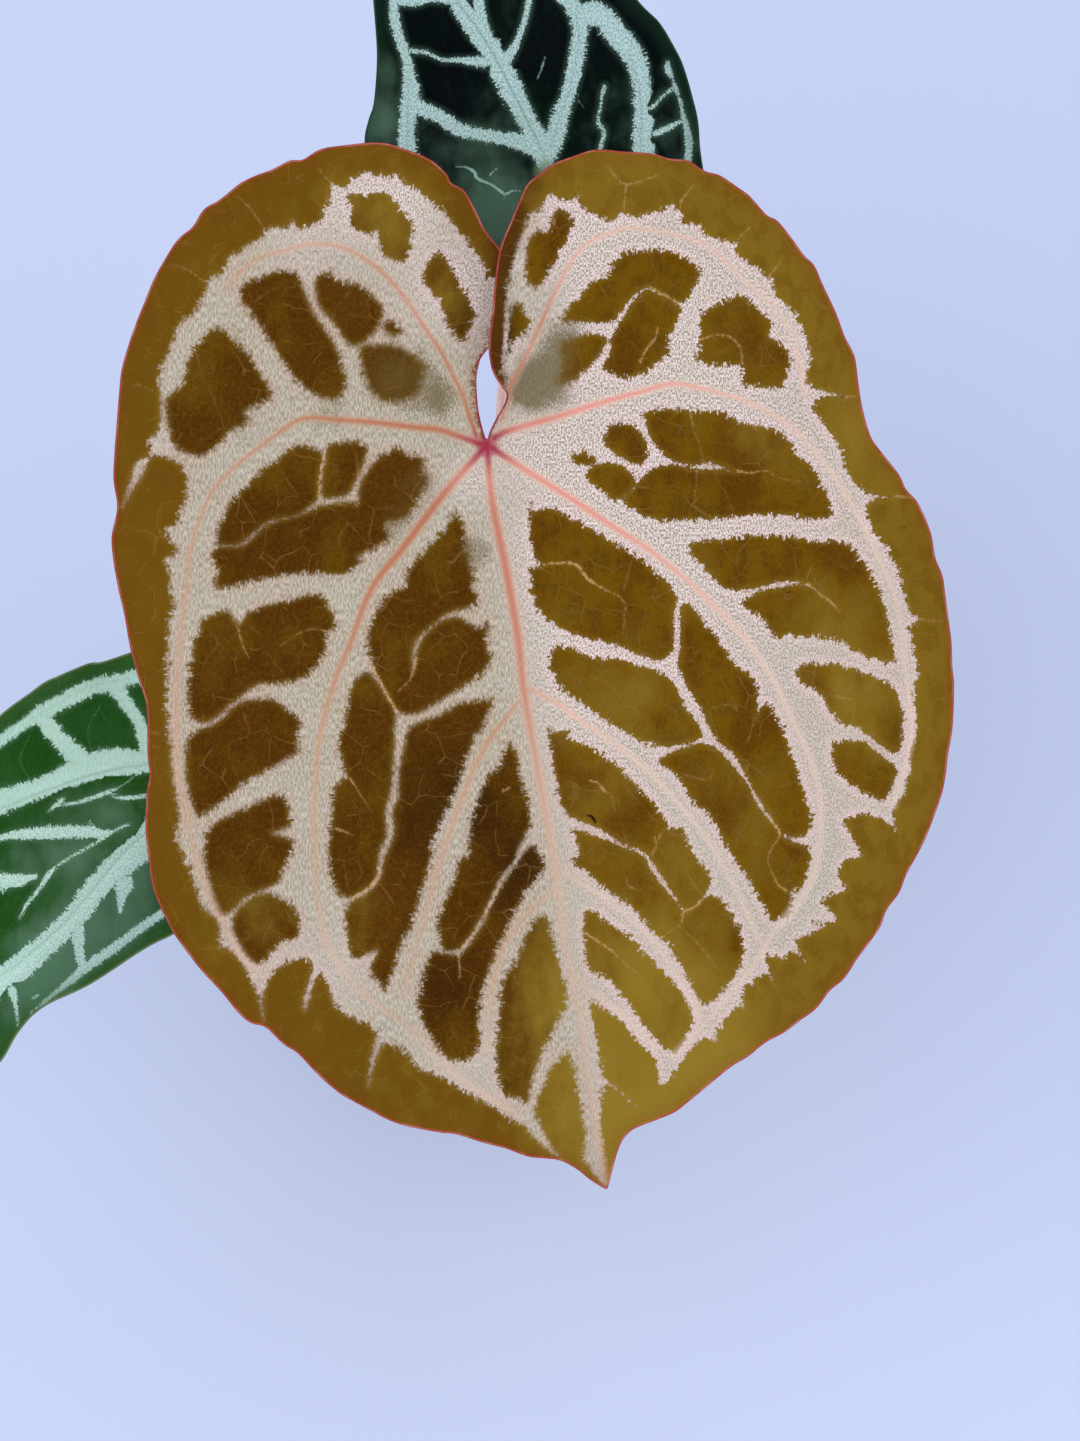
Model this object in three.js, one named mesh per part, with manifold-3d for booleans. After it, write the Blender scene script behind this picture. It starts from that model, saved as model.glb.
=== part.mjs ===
// A potted anthurium hybrid: one young bronze leaf and two older green leaves on long
// petioles, a short crown with roots, potting mix and a plain round nursery pot.
// Units are millimetres, +Z is up and the origin is the middle of the pot's base.

import * as THREE from 'three';
import { mergeVertices } from 'three/addons/utils/BufferGeometryUtils.js';
import Module from 'manifold-3d';

const wasm = await Module();
wasm.setup();

// Pot
const POT_HEIGHT = 115;
const POT_TOP_RADIUS = 65;
const POT_BASE_RADIUS = 47;
const POT_WALL = 2;
const POT_FLOOR = 2.5;
const RIM_HEIGHT = 14;
const RIM_LIP = 3;
const ROUND_SIDES = 48;
const DRAIN_COUNT = 6;
const DRAIN_RADIUS = 4;
const DRAIN_CIRCLE = 31;

// Potting mix, crown and roots
const GAP = 0.3;
const MIX_TOP = 99;
const CROWN_RADIUS = 13;
const CROWN_BOTTOM = 72;
const CROWN_TOP = 111;
const SCAR_COUNT = 4;
const ROOT_COUNT = 5;
const ROOT_RADIUS = 2.1;

// Petioles
const PETIOLE_BASE_RADIUS = 4.4;
const PETIOLE_RADIUS = 2.8;
const KNEE_RADIUS = 3.7;
const KNEE_LENGTH = 16;
const FLARE_ENDS = 55;
const PETIOLE_STEPS = 26;
const PETIOLE_SIDES = 10;

// Blades. Their outlines and veins are read as they look from the front, 60 degrees up,
// in picture pixels, and the young blade's true width gives the size of a pixel.
const YOUNG_BLADE_WIDTH = 202;
const YOUNG_BLADE_WIDTH_PIXELS = 841.6;
const MM_PER_PIXEL = YOUNG_BLADE_WIDTH / YOUNG_BLADE_WIDTH_PIXELS;
const VIEW_ELEVATION = THREE.MathUtils.degToRad(60);
const VIEW_DISTANCE = 864.6;
const PICTURE_MIDDLE = [540, 720.5];
const YOUNG_BLADE_MIDDLE = new THREE.Vector3(14, -98.3, 286.35);
const BLADE_THICKNESS = 1;
const RIB_SINK = 0.5;
const RIB_SIDES = 5;
const SEAT_ROOM = 8;

const VIEW_ALONG = new THREE.Vector3(0, Math.cos(VIEW_ELEVATION), -Math.sin(VIEW_ELEVATION));
const VIEW_UP = new THREE.Vector3(0, Math.sin(VIEW_ELEVATION), Math.cos(VIEW_ELEVATION));

// The point seen at pixel x, y that lies depth mm behind the young blade's plane
function seenAt(x, y, depth) {
  const size = MM_PER_PIXEL * (VIEW_DISTANCE + depth) / VIEW_DISTANCE;
  return YOUNG_BLADE_MIDDLE.clone()
    .addScaledVector(VIEW_ALONG, depth)
    .add(new THREE.Vector3((x - PICTURE_MIDDLE[0]) * size, 0, 0))
    .addScaledVector(VIEW_UP, (PICTURE_MIDDLE[1] - y) * size);
}

function bell(value, width) {
  return Math.exp(-(value * value) / (width * width));
}

function smoothStep(value, from, to) {
  return THREE.MathUtils.smoothstep(value, from, to);
}

// Waves round a margin, which fade towards the middle of the blade
function marginWaves(x, y, middle, halfSize, waves) {
  const across = (x - middle[0]) / halfSize[0];
  const along = (y - middle[1]) / halfSize[1];
  const reach = Math.hypot(across, along);
  const angle = Math.atan2(along, across);
  const wave = Math.sin(waves * angle + 0.6) + 0.45 * Math.sin((2 * waves + 1) * angle + 1.9);
  return wave * smoothStep(reach, 0.62, 1.05);
}

// Young blade: arched, with a funnel at the sinus, lobes that pass over each other and one crease
const youngBlade = {
  step: 28,
  rightEdge: [
    [487, 441], [494, 424], [504, 409], [507, 397], [498, 382], [491, 364], [489, 345],
    [493, 310], [495, 285], [498, 257], [505, 232], [518, 206], [530, 182], [550, 166],
    [580, 153], [620, 151], [654, 154], [690, 162], [714, 174], [738, 188], [768, 216],
    [796, 244], [820, 280], [838, 320], [854, 356], [858, 390], [868, 430], [888, 462],
    [902, 482], [922, 516], [934, 552], [944, 590], [949, 626], [952, 660], [953.6, 690],
    [948, 752], [941, 794], [924, 840], [902, 884], [880, 926], [844, 978], [800, 1020],
    [748, 1056], [702, 1090], [672, 1113], [642, 1125], [626, 1136], [617, 1152], [611, 1178],
    [606, 1188],
  ],
  leftEdge: [
    [606, 1188], [588, 1178], [560, 1160], [528, 1156], [486, 1143], [457, 1134], [422, 1130],
    [376, 1113], [340, 1093], [308, 1065], [272, 1034], [240, 1014], [200, 968], [170, 926],
    [152, 882], [146, 835], [148, 790], [148, 740], [140, 684], [129, 636], [117, 580],
    [112, 542], [117, 508], [114, 480], [116, 424], [122, 372], [132, 335], [145, 302],
    [160, 270], [178, 240], [198, 219], [220, 200], [252, 178], [290, 161], [320, 150],
    [360, 144], [394, 147], [430, 160], [451, 183], [474, 208], [486, 234], [493.5, 262],
    [491.5, 285], [489, 310], [485, 340], [477, 368], [477, 396], [481, 422], [487, 441],
  ],
  ribs: [
    { from: 2.2, to: 0.8,
      path: [[492, 470], [505, 564], [524, 691], [548, 825], [568, 956], [590, 1090], [602, 1168]] },
    { from: 1.9, to: 0.8,
      path: [[470, 436], [420, 428], [340, 420], [302, 419], [250, 454], [204, 512], [186, 592],
        [177, 700]] },
    { from: 1.7, to: 0.8,
      path: [[466, 408], [434, 342], [386, 276], [330, 244], [265, 254], [223, 290]] },
    { from: 1.9, to: 0.8,
      path: [[462, 470], [403, 548], [350, 644], [318, 750], [316, 880], [360, 990]] },
    { from: 1.9, to: 0.8,
      path: [[512, 430], [580, 410], [670, 384], [752, 404], [828, 468], [880, 562], [905, 670]] },
    { from: 1.7, to: 0.8,
      path: [[510, 388], [548, 306], [582, 248], [640, 229], [700, 243], [770, 304]] },
    { from: 1.9, to: 0.8,
      path: [[512, 458], [581, 505], [700, 592], [770, 674], [814, 770], [820, 850], [775, 930]] },
    { from: 1.3, to: 0.7,
      path: [[526, 692], [587, 725], [648, 771], [706, 838], [746, 910]] },
    { from: 1.3, to: 0.7,
      path: [[522, 706], [473, 771], [444, 850], [422, 930], [402, 996]] },
  ],
  depth(x, y) {
    const across = (x - 520) / 425;
    const along = (y - 660) / 520;
    const arch = 8 * (across * across + along * along);
    const funnel = 4 * bell(Math.hypot(x - 487, y - 440), 95);
    const waves = 2 * marginWaves(x, y, [520, 640], [420, 520], 11);
    const creaseOffset = 0.71 * (x - 488) + 0.7 * (y - 911);
    const creaseAlong = 0.7 * (x - 488) - 0.71 * (y - 911);
    const crease = 2.6 * bell(creaseOffset, 30) * bell(creaseAlong, 60);
    const alongSinus = smoothStep(y, 140, 200) * (1 - smoothStep(y, 330, 400));
    const isRightLobe = x > 496 - 0.1 * (y - 257);
    const passing = (isRightLobe ? -6 : 4) * bell(x - 500, 60) * alongSinus;
    return arch + funnel + waves + crease + passing;
  },
};

// Back blade: nearly level, behind the young one, its tip pointing back
const backBlade = {
  step: 30,
  rightEdge: [
    [546, 174], [557, 212], [575, 252], [605, 284], [645, 296], [680, 276], [700, 240],
    [706, 200], [700, 150], [694, 104], [676, 51], [636, 0], [600, -36], [560, -66],
    [515, -95], [465, -118], [415, -142], [372, -164], [332, -188],
  ],
  leftEdge: [
    [332, -188], [344, -152], [354, -118], [363, -78], [370, -38], [374, 5], [377, 55],
    [374, 100], [367, 140], [368, 180], [382, 222], [408, 258], [445, 280], [485, 283],
    [514, 268], [532, 232], [546, 174],
  ],
  ribs: [
    { from: 1.7, to: 0.7,
      path: [[540, 152], [520, 105], [480, 37], [430, -42], [372, -130], [344, -170]] },
    { from: 1.3, to: 0.7,
      path: [[552, 140], [570, 85], [579, 32], [570, -16], [530, -55]] },
    { from: 1.3, to: 0.7,
      path: [[528, 148], [480, 136], [440, 118], [404, 96], [390, 30]] },
    { from: 1.2, to: 0.7,
      path: [[560, 182], [590, 200], [622, 190], [644, 140], [640, 80]] },
    { from: 1.2, to: 0.7,
      path: [[532, 186], [500, 212], [460, 220], [424, 196]] },
  ],
  depth(x, y) {
    const above = Math.max(0, (172 - y) / 360);
    const slope = -0.125 * (y - 172) + 22 * above * above;
    const across = (x - 515 + 0.45 * (50 - y)) / 175;
    const along = (y - 60) / 240;
    const arch = 5 * (across * across + along * along);
    const waves = 1.4 * marginWaves(x, y, [515, 50], [180, 235], 9);
    return 55 + slope + arch + waves;
  },
};

// Side blade: lower, its midrib a ridge with the near half hanging steeply
const sideBlade = {
  step: 24,
  rightEdge: [
    [255, 732], [266, 700], [280, 668], [262, 638], [228, 626], [185, 634], [130, 653],
    [88, 664], [44, 683], [0, 716], [-28, 748], [-54, 790], [-72, 836], [-84, 885],
    [-93, 935], [-99, 985], [-106, 1030], [-116, 1064],
  ],
  leftEdge: [
    [-116, 1064], [-84, 1070], [-50, 1078], [-22, 1074], [0, 1062], [19, 1031], [43, 1007],
    [90, 984], [144, 949], [175, 933], [208, 912], [245, 880], [278, 842], [304, 800],
    [318, 762], [306, 728], [282, 722], [255, 732],
  ],
  ribs: [
    { from: 1.7, to: 0.7,
      path: [[240, 746], [175, 803], [121, 855], [66, 922], [0, 976], [-62, 1018], [-98, 1048]] },
    { from: 1.4, to: 0.7,
      path: [[232, 734], [147, 764], [81, 778], [0, 809], [-52, 862], [-75, 930]] },
    { from: 1.2, to: 0.7,
      path: [[250, 712], [236, 684], [200, 668], [136, 675], [60, 701]] },
    { from: 1.3, to: 0.7,
      path: [[262, 752], [250, 790], [222, 850], [161, 915], [69, 983]] },
  ],
  depth(x, y) {
    const fromMidrib = -0.694 * (x - 255) - 0.72 * (y - 732);
    const alongMidrib = (-0.72 * (x - 255) + 0.694 * (y - 732)) / 480;
    const ridge = 0.16 * (Math.hypot(fromMidrib, 34) - 34) - 0.06 * fromMidrib;
    const arch = 12 * Math.pow(alongMidrib - 0.25, 2);
    const waves = 1.4 * marginWaves(x, y, [100, 870], [190, 200], 8);
    return 58 + ridge + arch + waves;
  },
};

// A petiole runs from its socket in the crown to the underside of its blade at the sinus
const petiolePaths = {
  young: [[1, -7, 99], [-1, -14, 160], [-2, -24, 235], [-1, -37, 296]],
  back: [[5, 5, 99], [3, 13, 150], [4.5, 33, 218], [9, 50, 280]],
  side: [[-7, 2.5, 99], [-20, -10, 140], [-38, -38, 194], [-54, -62, 223]],
};
const sinusPixels = { young: [487, 452], back: [545, 160], side: [246, 740] };

function outlineOf(blade, pointsPerStretch) {
  const outline = [];
  for (const edge of [blade.rightEdge, blade.leftEdge]) {
    const spline = new THREE.SplineCurve(edge.map(([x, y]) => new THREE.Vector2(x, y)));
    const points = spline.getPoints((edge.length - 1) * pointsPerStretch);
    outline.push(...points.slice(0, -1));
  }
  return outline;
}

function isInside(x, y, outline) {
  let inside = false;
  outline.forEach((a, i) => {
    const b = outline[(i + 1) % outline.length];
    const crosses = (a.y > y) !== (b.y > y);
    if (crosses && x < a.x + (b.x - a.x) * (y - a.y) / (b.y - a.y)) inside = !inside;
  });
  return inside;
}

function edgeDistance(x, y, outline) {
  const point = new THREE.Vector3(x, y, 0);
  const line = new THREE.Line3();
  const nearest = new THREE.Vector3();
  let least = Infinity;
  outline.forEach((a, i) => {
    const b = outline[(i + 1) % outline.length];
    line.start.set(a.x, a.y, 0);
    line.end.set(b.x, b.y, 0);
    least = Math.min(least, line.closestPointToPoint(point, true, nearest).distanceTo(point));
  });
  return least;
}

// Whole lattice squares inside the outline, dropping those joined to the rest by a corner only
function latticeSquares(outline, step) {
  const box = new THREE.Box2().setFromPoints(outline);
  const columns = Math.ceil((box.max.x - box.min.x) / step) + 1;
  const rows = Math.ceil((box.max.y - box.min.y) / step) + 1;
  const at = (i, j) => [box.min.x + (i - 0.5) * step, box.min.y + (j - 0.5) * step];
  const isFree = (i, j) => {
    const [x, y] = at(i, j);
    return isInside(x, y, outline) && edgeDistance(x, y, outline) > 0.35 * step;
  };
  const free = Array.from({ length: columns + 2 }, (_, i) =>
    Array.from({ length: rows + 2 }, (_, j) => isFree(i, j)));
  const isSquare = (i, j) => Boolean(free[i]?.[j] && free[i + 1]?.[j] && free[i]?.[j + 1]
    && free[i + 1]?.[j + 1]);
  const squares = new Map();
  for (let i = 0; i <= columns; i += 1) {
    for (let j = 0; j <= rows; j += 1) {
      if (isSquare(i, j)) squares.set(`${i},${j}`, [i, j]);
    }
  }
  let changed = true;
  while (changed) {
    changed = false;
    for (const [key, [i, j]] of squares) {
      const has = (di, dj) => squares.has(`${i + di},${j + dj}`);
      const sides = [has(1, 0), has(0, 1), has(-1, 0), has(0, -1)];
      const cornerOnly = [[1, 1, 0, 1], [-1, 1, 2, 1], [-1, -1, 2, 3], [1, -1, 0, 3]]
        .some(([di, dj, a, b]) => has(di, dj) && !sides[a] && !sides[b]);
      if (cornerOnly || sides.filter(Boolean).length < 2) {
        squares.delete(key);
        changed = true;
      }
    }
  }
  return { squares, at };
}

// Points and triangles of a blade seen flat: squares in the middle, and a fitted border
function flatMesh(blade) {
  const outline = outlineOf(blade, 2);
  const { squares, at } = latticeSquares(outline, blade.step);
  const points = outline.map((point) => [point.x, point.y]);
  const triangles = [];
  const indexOf = new Map();
  const cornerIndex = (i, j) => {
    const key = `${i},${j}`;
    if (!indexOf.has(key)) {
      indexOf.set(key, points.length);
      points.push(at(i, j));
    }
    return indexOf.get(key);
  };
  const borderNext = new Map();
  for (const [i, j] of squares.values()) {
    const [a, b, c, d] = [cornerIndex(i, j), cornerIndex(i + 1, j), cornerIndex(i + 1, j + 1),
      cornerIndex(i, j + 1)];
    triangles.push([a, b, c], [a, c, d]);
    const sides = [[0, -1, a, b], [1, 0, b, c], [0, 1, c, d], [-1, 0, d, a]];
    for (const [di, dj, start, end] of sides) {
      if (!squares.has(`${i + di},${j + dj}`)) borderNext.set(start, end);
    }
  }
  const holes = [];
  while (borderNext.size > 0) {
    const loop = [];
    let current = borderNext.keys().next().value;
    while (borderNext.has(current)) {
      const next = borderNext.get(current);
      borderNext.delete(current);
      loop.push(current);
      current = next;
    }
    holes.push(loop);
  }
  const order = [...outline.keys(), ...holes.flat()];
  const asVectors = (loop) => loop.map((index) => new THREE.Vector2(...points[index]));
  const border = THREE.ShapeUtils.triangulateShape(outline, holes.map(asVectors));
  triangles.push(...border.map((triangle) => triangle.map((index) => order[index])));
  return { points, triangles: triangles.map((t) => facingView(t, points)), rim: outline.length };
}

function facingView([a, b, c], points) {
  const [pa, pb, pc] = [points[a], points[b], points[c]];
  const turn = (pb[0] - pa[0]) * (pc[1] - pa[1]) - (pb[1] - pa[1]) * (pc[0] - pa[0]);
  return turn < 0 ? [a, b, c] : [a, c, b];
}

function meshOf(vertices, triangles) {
  const geometry = new THREE.BufferGeometry();
  geometry.setAttribute('position', new THREE.Float32BufferAttribute(vertices.flat(), 3));
  geometry.setIndex(triangles.flat());
  return geometry;
}

// One sheet from depth + top to depth + bottom, alike on both faces
function bladeSheet(blade, top, bottom) {
  const { points, triangles, rim } = flatMesh(blade);
  const count = points.length;
  const vertices = [top, bottom].flatMap((shift) => points.map(([x, y]) =>
    seenAt(x, y, blade.depth(x, y) + shift).toArray()));
  const faces = triangles.flatMap(([a, b, c]) => [[a, b, c], [c + count, b + count, a + count]]);
  const area = THREE.ShapeUtils.area(points.slice(0, rim).map((p) => new THREE.Vector2(...p)));
  for (let i = 0; i < rim; i += 1) {
    const next = (i + 1) % rim;
    const [a, b] = area > 0 ? [i, next] : [next, i];
    faces.push([a, b, b + count], [a, b + count, a + count]);
  }
  return meshOf(vertices, faces);
}

// A closed round stem along a curve, its radius given along the way
function stem(points, radiusAt, steps, sides) {
  const curve = new THREE.CatmullRomCurve3(points);
  const frames = curve.computeFrenetFrames(steps, false);
  const vertices = [];
  const faces = [];
  for (let i = 0; i <= steps; i += 1) {
    const centre = curve.getPointAt(i / steps);
    const radius = radiusAt(i / steps);
    for (let k = 0; k < sides; k += 1) {
      const angle = 2 * Math.PI * k / sides;
      vertices.push(centre.clone()
        .addScaledVector(frames.normals[i], radius * Math.cos(angle))
        .addScaledVector(frames.binormals[i], radius * Math.sin(angle)).toArray());
    }
  }
  for (let i = 0; i < steps; i += 1) {
    for (let k = 0; k < sides; k += 1) {
      const [a, b] = [i * sides + k, i * sides + (k + 1) % sides];
      faces.push([a, b, b + sides], [a, b + sides, a + sides]);
    }
  }
  for (let k = 1; k < sides - 1; k += 1) {
    const last = steps * sides;
    faces.push([0, k + 1, k], [last, last + k, last + k + 1]);
  }
  return meshOf(vertices, faces);
}

function toSolid(geometry) {
  const merged = geometry.clone();
  merged.deleteAttribute('normal');
  merged.deleteAttribute('uv');
  const closed = mergeVertices(merged, 1e-4);
  return new wasm.Manifold(new wasm.Mesh({
    numProp: 3,
    vertProperties: closed.attributes.position.array,
    triVerts: Uint32Array.from(closed.index.array),
  }));
}

function toGeometry(solid) {
  const { vertProperties, triVerts } = solid.getMesh();
  const geometry = new THREE.BufferGeometry();
  geometry.setAttribute('position', new THREE.Float32BufferAttribute(vertProperties, 3));
  geometry.setIndex([...triVerts]);
  geometry.computeVertexNormals();
  return geometry;
}

function joined(geometries) {
  return geometries.map(toSolid).reduce((whole, piece) => whole.add(piece));
}

// The largest body, without the loose scraps that a cut leaves
function mainBody(solid) {
  return solid.decompose().reduce((most, body) => (body.volume() > most.volume() ? body : most));
}

// The blade and its ribs; clearance grows it downwards to cut a seat in what carries it
function bladeSolid(blade, clearance) {
  const sheet = bladeSheet(blade, clearance > 0 ? -SEAT_ROOM : 0, BLADE_THICKNESS + clearance);
  const ribs = blade.ribs.map(({ from, to, path }) => {
    const radiusAt = (t) => THREE.MathUtils.lerp(from, to, t) + clearance;
    const points = path.map(([x, y], i) => {
      const radius = THREE.MathUtils.lerp(from, to, i / (path.length - 1));
      return seenAt(x, y, blade.depth(x, y) + BLADE_THICKNESS + radius - RIB_SINK);
    });
    return stem(points, radiusAt, path.length + 3, RIB_SIDES);
  });
  return joined([sheet, ...ribs]);
}

function petioleStem(name, blade, clearance) {
  const [x, y] = sinusPixels[name];
  const points = petiolePaths[name].map((point) => new THREE.Vector3(...point));
  points.push(seenAt(x, y, blade.depth(x, y) + BLADE_THICKNESS / 2));
  if (clearance > 0) points[0].z -= clearance;
  const length = new THREE.CatmullRomCurve3(points).getLength();
  const radiusAt = (t) => {
    const fromBase = t * length;
    const fromBlade = (1 - t) * length;
    const base = (PETIOLE_BASE_RADIUS - PETIOLE_RADIUS) * (1 - smoothStep(fromBase, 8, FLARE_ENDS));
    const knee = (KNEE_RADIUS - PETIOLE_RADIUS)
      * (1 - smoothStep(fromBlade, 0.6 * KNEE_LENGTH, 1.3 * KNEE_LENGTH));
    return PETIOLE_RADIUS + base + knee + clearance;
  };
  return stem(points, radiusAt, PETIOLE_STEPS, PETIOLE_SIDES);
}

function potRadiusAt(height) {
  const wallTop = POT_TOP_RADIUS - RIM_LIP;
  return THREE.MathUtils.lerp(POT_BASE_RADIUS, wallTop, height / POT_HEIGHT);
}

function nurseryPot() {
  const lipFoot = POT_HEIGHT - RIM_HEIGHT;
  const profile = [
    [0, 0], [POT_BASE_RADIUS - 1.5, 0], [POT_BASE_RADIUS, 1.5], [potRadiusAt(lipFoot), lipFoot],
    [POT_TOP_RADIUS, lipFoot + 1.5], [POT_TOP_RADIUS, POT_HEIGHT - 1],
    [POT_TOP_RADIUS - 1, POT_HEIGHT], [POT_TOP_RADIUS - RIM_LIP - POT_WALL + 0.6, POT_HEIGHT],
    [potRadiusAt(lipFoot) - POT_WALL, lipFoot], [potRadiusAt(POT_FLOOR) - POT_WALL, POT_FLOOR],
    [0, POT_FLOOR],
  ].map(([radius, height]) => new THREE.Vector2(radius, height));
  const shell = toSolid(uprightLathe(profile));
  const drains = Array.from({ length: DRAIN_COUNT }, (_, i) => {
    const angle = 2 * Math.PI * i / DRAIN_COUNT;
    return toSolid(new THREE.CylinderGeometry(DRAIN_RADIUS, DRAIN_RADIUS, 3 * POT_FLOOR, 12)
      .rotateX(Math.PI / 2)
      .translate(DRAIN_CIRCLE * Math.cos(angle), DRAIN_CIRCLE * Math.sin(angle), 0));
  });
  return drains.reduce((pot, drain) => pot.subtract(drain), shell);
}

function uprightLathe(profile) {
  return new THREE.LatheGeometry(profile, ROUND_SIDES).rotateX(Math.PI / 2);
}

// The mix fills the pot, and its loose top is raised by a sum of waves
function mixTopAt(x, y) {
  const coarse = Math.sin(0.21 * x + 1.3) * Math.cos(0.17 * y - 0.4);
  const fine = Math.sin(0.47 * x - 0.33 * y + 0.8) + Math.cos(0.39 * x + 0.52 * y);
  return MIX_TOP + 1.3 * coarse + 0.7 * fine;
}

function pottingMix() {
  const edgeRadius = (height) => potRadiusAt(height) - POT_WALL - GAP;
  const bottom = POT_FLOOR + GAP;
  const rings = [0.92, 0.78, 0.64, 0.5, 0.36, 0.2].map((share) => share * edgeRadius(MIX_TOP));
  const vertices = [[0, 0, bottom]];
  const faces = [];
  const addRing = (radius, heightAt) => {
    const first = vertices.length;
    for (let k = 0; k < ROUND_SIDES; k += 1) {
      const angle = 2 * Math.PI * k / ROUND_SIDES;
      const [x, y] = [radius * Math.cos(angle), radius * Math.sin(angle)];
      vertices.push([x, y, heightAt(x, y)]);
    }
    return first;
  };
  const starts = [
    addRing(edgeRadius(bottom), () => bottom),
    addRing(edgeRadius(MIX_TOP) - 0.4, (x, y) => mixTopAt(x, y) - 1.5),
    ...rings.map((radius) => addRing(radius, mixTopAt)),
  ];
  const middle = vertices.push([0, 0, mixTopAt(0, 0)]) - 1;
  const last = starts[starts.length - 1];
  for (let k = 0; k < ROUND_SIDES; k += 1) {
    const next = (k + 1) % ROUND_SIDES;
    faces.push([0, starts[0] + next, starts[0] + k], [last + k, last + next, middle]);
    for (let ring = 1; ring < starts.length; ring += 1) {
      const [low, high] = [starts[ring - 1], starts[ring]];
      faces.push([low + k, low + next, high + next], [low + k, high + next, high + k]);
    }
  }
  return meshOf(vertices, faces);
}

// A short thick crown ringed by old leaf scars, with roots that arch into the mix
function crownBody(clearance) {
  const profile = [new THREE.Vector2(0, CROWN_BOTTOM - clearance)];
  const height = CROWN_TOP - CROWN_BOTTOM;
  const steps = 2 * SCAR_COUNT + 2;
  for (let i = 0; i <= steps; i += 1) {
    const t = i / steps;
    const swell = i % 2 === 0 ? 0 : 0.9;
    const taper = 1 - 0.35 * Math.pow(Math.abs(2 * t - 1), 3);
    const z = CROWN_BOTTOM + t * height + (t === 0 ? -clearance : 0);
    profile.push(new THREE.Vector2(CROWN_RADIUS * taper + swell + clearance, z));
  }
  profile.push(new THREE.Vector2(0, CROWN_TOP + clearance));
  return new THREE.LatheGeometry(profile, 24).rotateX(Math.PI / 2);
}

function rootStem(index, clearance) {
  const angle = 2 * Math.PI * (index + 0.35) / ROOT_COUNT + 0.25 * Math.sin(3 * index);
  const out = (radius, height, turn) => new THREE.Vector3(
    radius * Math.cos(angle + turn), radius * Math.sin(angle + turn), height);
  const reach = 24 + 5 * Math.sin(2.1 * index + 1);
  const points = [out(7, 89, 0), out(14, 96.5, 0.03), out(21, 101.5, 0.1),
    out(reach + 3, 99, 0.18), out(reach + 10, 89 - clearance, 0.26)];
  return stem(points, (t) => ROOT_RADIUS * (1 - 0.2 * t) + clearance, 8, 6);
}

function crownSolid(clearance) {
  const roots = Array.from({ length: ROOT_COUNT }, (_, index) => rootStem(index, clearance));
  return joined([crownBody(clearance), ...roots]);
}

function namedMesh(name, solid, colour, roughness) {
  const material = new THREE.MeshStandardMaterial({ color: colour, roughness, metalness: 0 });
  material.side = THREE.DoubleSide;
  const mesh = new THREE.Mesh(toGeometry(solid), material);
  mesh.name = name;
  return mesh;
}

const blades = { young: youngBlade, back: backBlade, side: sideBlade };
const bladeColours = { young: 0x6b4a12, back: 0x12301c, side: 0x2f6a2a };
const petioleColours = { young: 0xc98a72, back: 0xc9a08c, side: 0x7f9a58 };

const holder = new THREE.Group();
holder.add(namedMesh('nursery_pot', nurseryPot(), 0x2b2c2e, 0.6));
const mix = toSolid(pottingMix()).subtract(crownSolid(GAP));
holder.add(namedMesh('potting_mix', mix, 0x4a3524, 0.95));

const plant = new THREE.Group();
let crown = crownSolid(0);
for (const [name, blade] of Object.entries(blades)) {
  crown = crown.subtract(toSolid(petioleStem(name, blade, GAP)));
  const petiole = toSolid(petioleStem(name, blade, 0)).subtract(bladeSolid(blade, GAP));
  plant.add(namedMesh(`petiole_${name}`, petiole, petioleColours[name], 0.5));
  plant.add(namedMesh(`blade_${name}`, bladeSolid(blade, 0), bladeColours[name], 0.55));
}
plant.add(namedMesh('crown', mainBody(crown), 0x7a6038, 0.8));

const pottedAnthurium = new THREE.Group();
pottedAnthurium.add(holder, plant);

export default pottedAnthurium;
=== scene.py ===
"""Potted anthurium hybrid: a bronze young leaf, two older green leaves, crown, mix and pot."""

import math

import bmesh
import bpy
import numpy as np
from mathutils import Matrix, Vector, noise
from mathutils.geometry import delaunay_2d_cdt
from mathutils.kdtree import KDTree


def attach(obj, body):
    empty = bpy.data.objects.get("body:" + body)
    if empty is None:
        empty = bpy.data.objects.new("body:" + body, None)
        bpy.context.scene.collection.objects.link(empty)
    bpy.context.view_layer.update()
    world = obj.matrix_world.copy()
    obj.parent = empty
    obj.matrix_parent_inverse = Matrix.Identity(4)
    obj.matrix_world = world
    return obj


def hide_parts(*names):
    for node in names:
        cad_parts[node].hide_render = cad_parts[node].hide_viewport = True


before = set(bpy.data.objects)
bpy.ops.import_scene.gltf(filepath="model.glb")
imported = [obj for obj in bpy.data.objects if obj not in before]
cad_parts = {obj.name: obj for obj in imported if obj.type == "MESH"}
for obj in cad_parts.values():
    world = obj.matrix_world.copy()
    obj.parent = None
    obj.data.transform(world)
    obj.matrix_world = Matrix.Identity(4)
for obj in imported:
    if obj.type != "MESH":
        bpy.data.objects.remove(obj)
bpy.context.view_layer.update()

MM = 0.001

# The view: outlines and veins are drawn as seen from the front, 60 degrees up, in picture pixels.
PICTURE_SIZE = (1080, 1441)
VIEW_ELEVATION = math.radians(60)
VIEW_DISTANCE = 864.6
LENS_LENGTH = 90
SENSOR_LENGTH = 36
YOUNG_BLADE_WIDTH = 202
YOUNG_BLADE_WIDTH_PIXELS = 841.6
PIXEL = YOUNG_BLADE_WIDTH / YOUNG_BLADE_WIDTH_PIXELS
YOUNG_BLADE_MIDDLE = np.array([14, -98.3, 286.35])
VIEW_ALONG = np.array([0, math.cos(VIEW_ELEVATION), -math.sin(VIEW_ELEVATION)])
VIEW_UP = np.array([0, math.sin(VIEW_ELEVATION), math.cos(VIEW_ELEVATION)])

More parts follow.
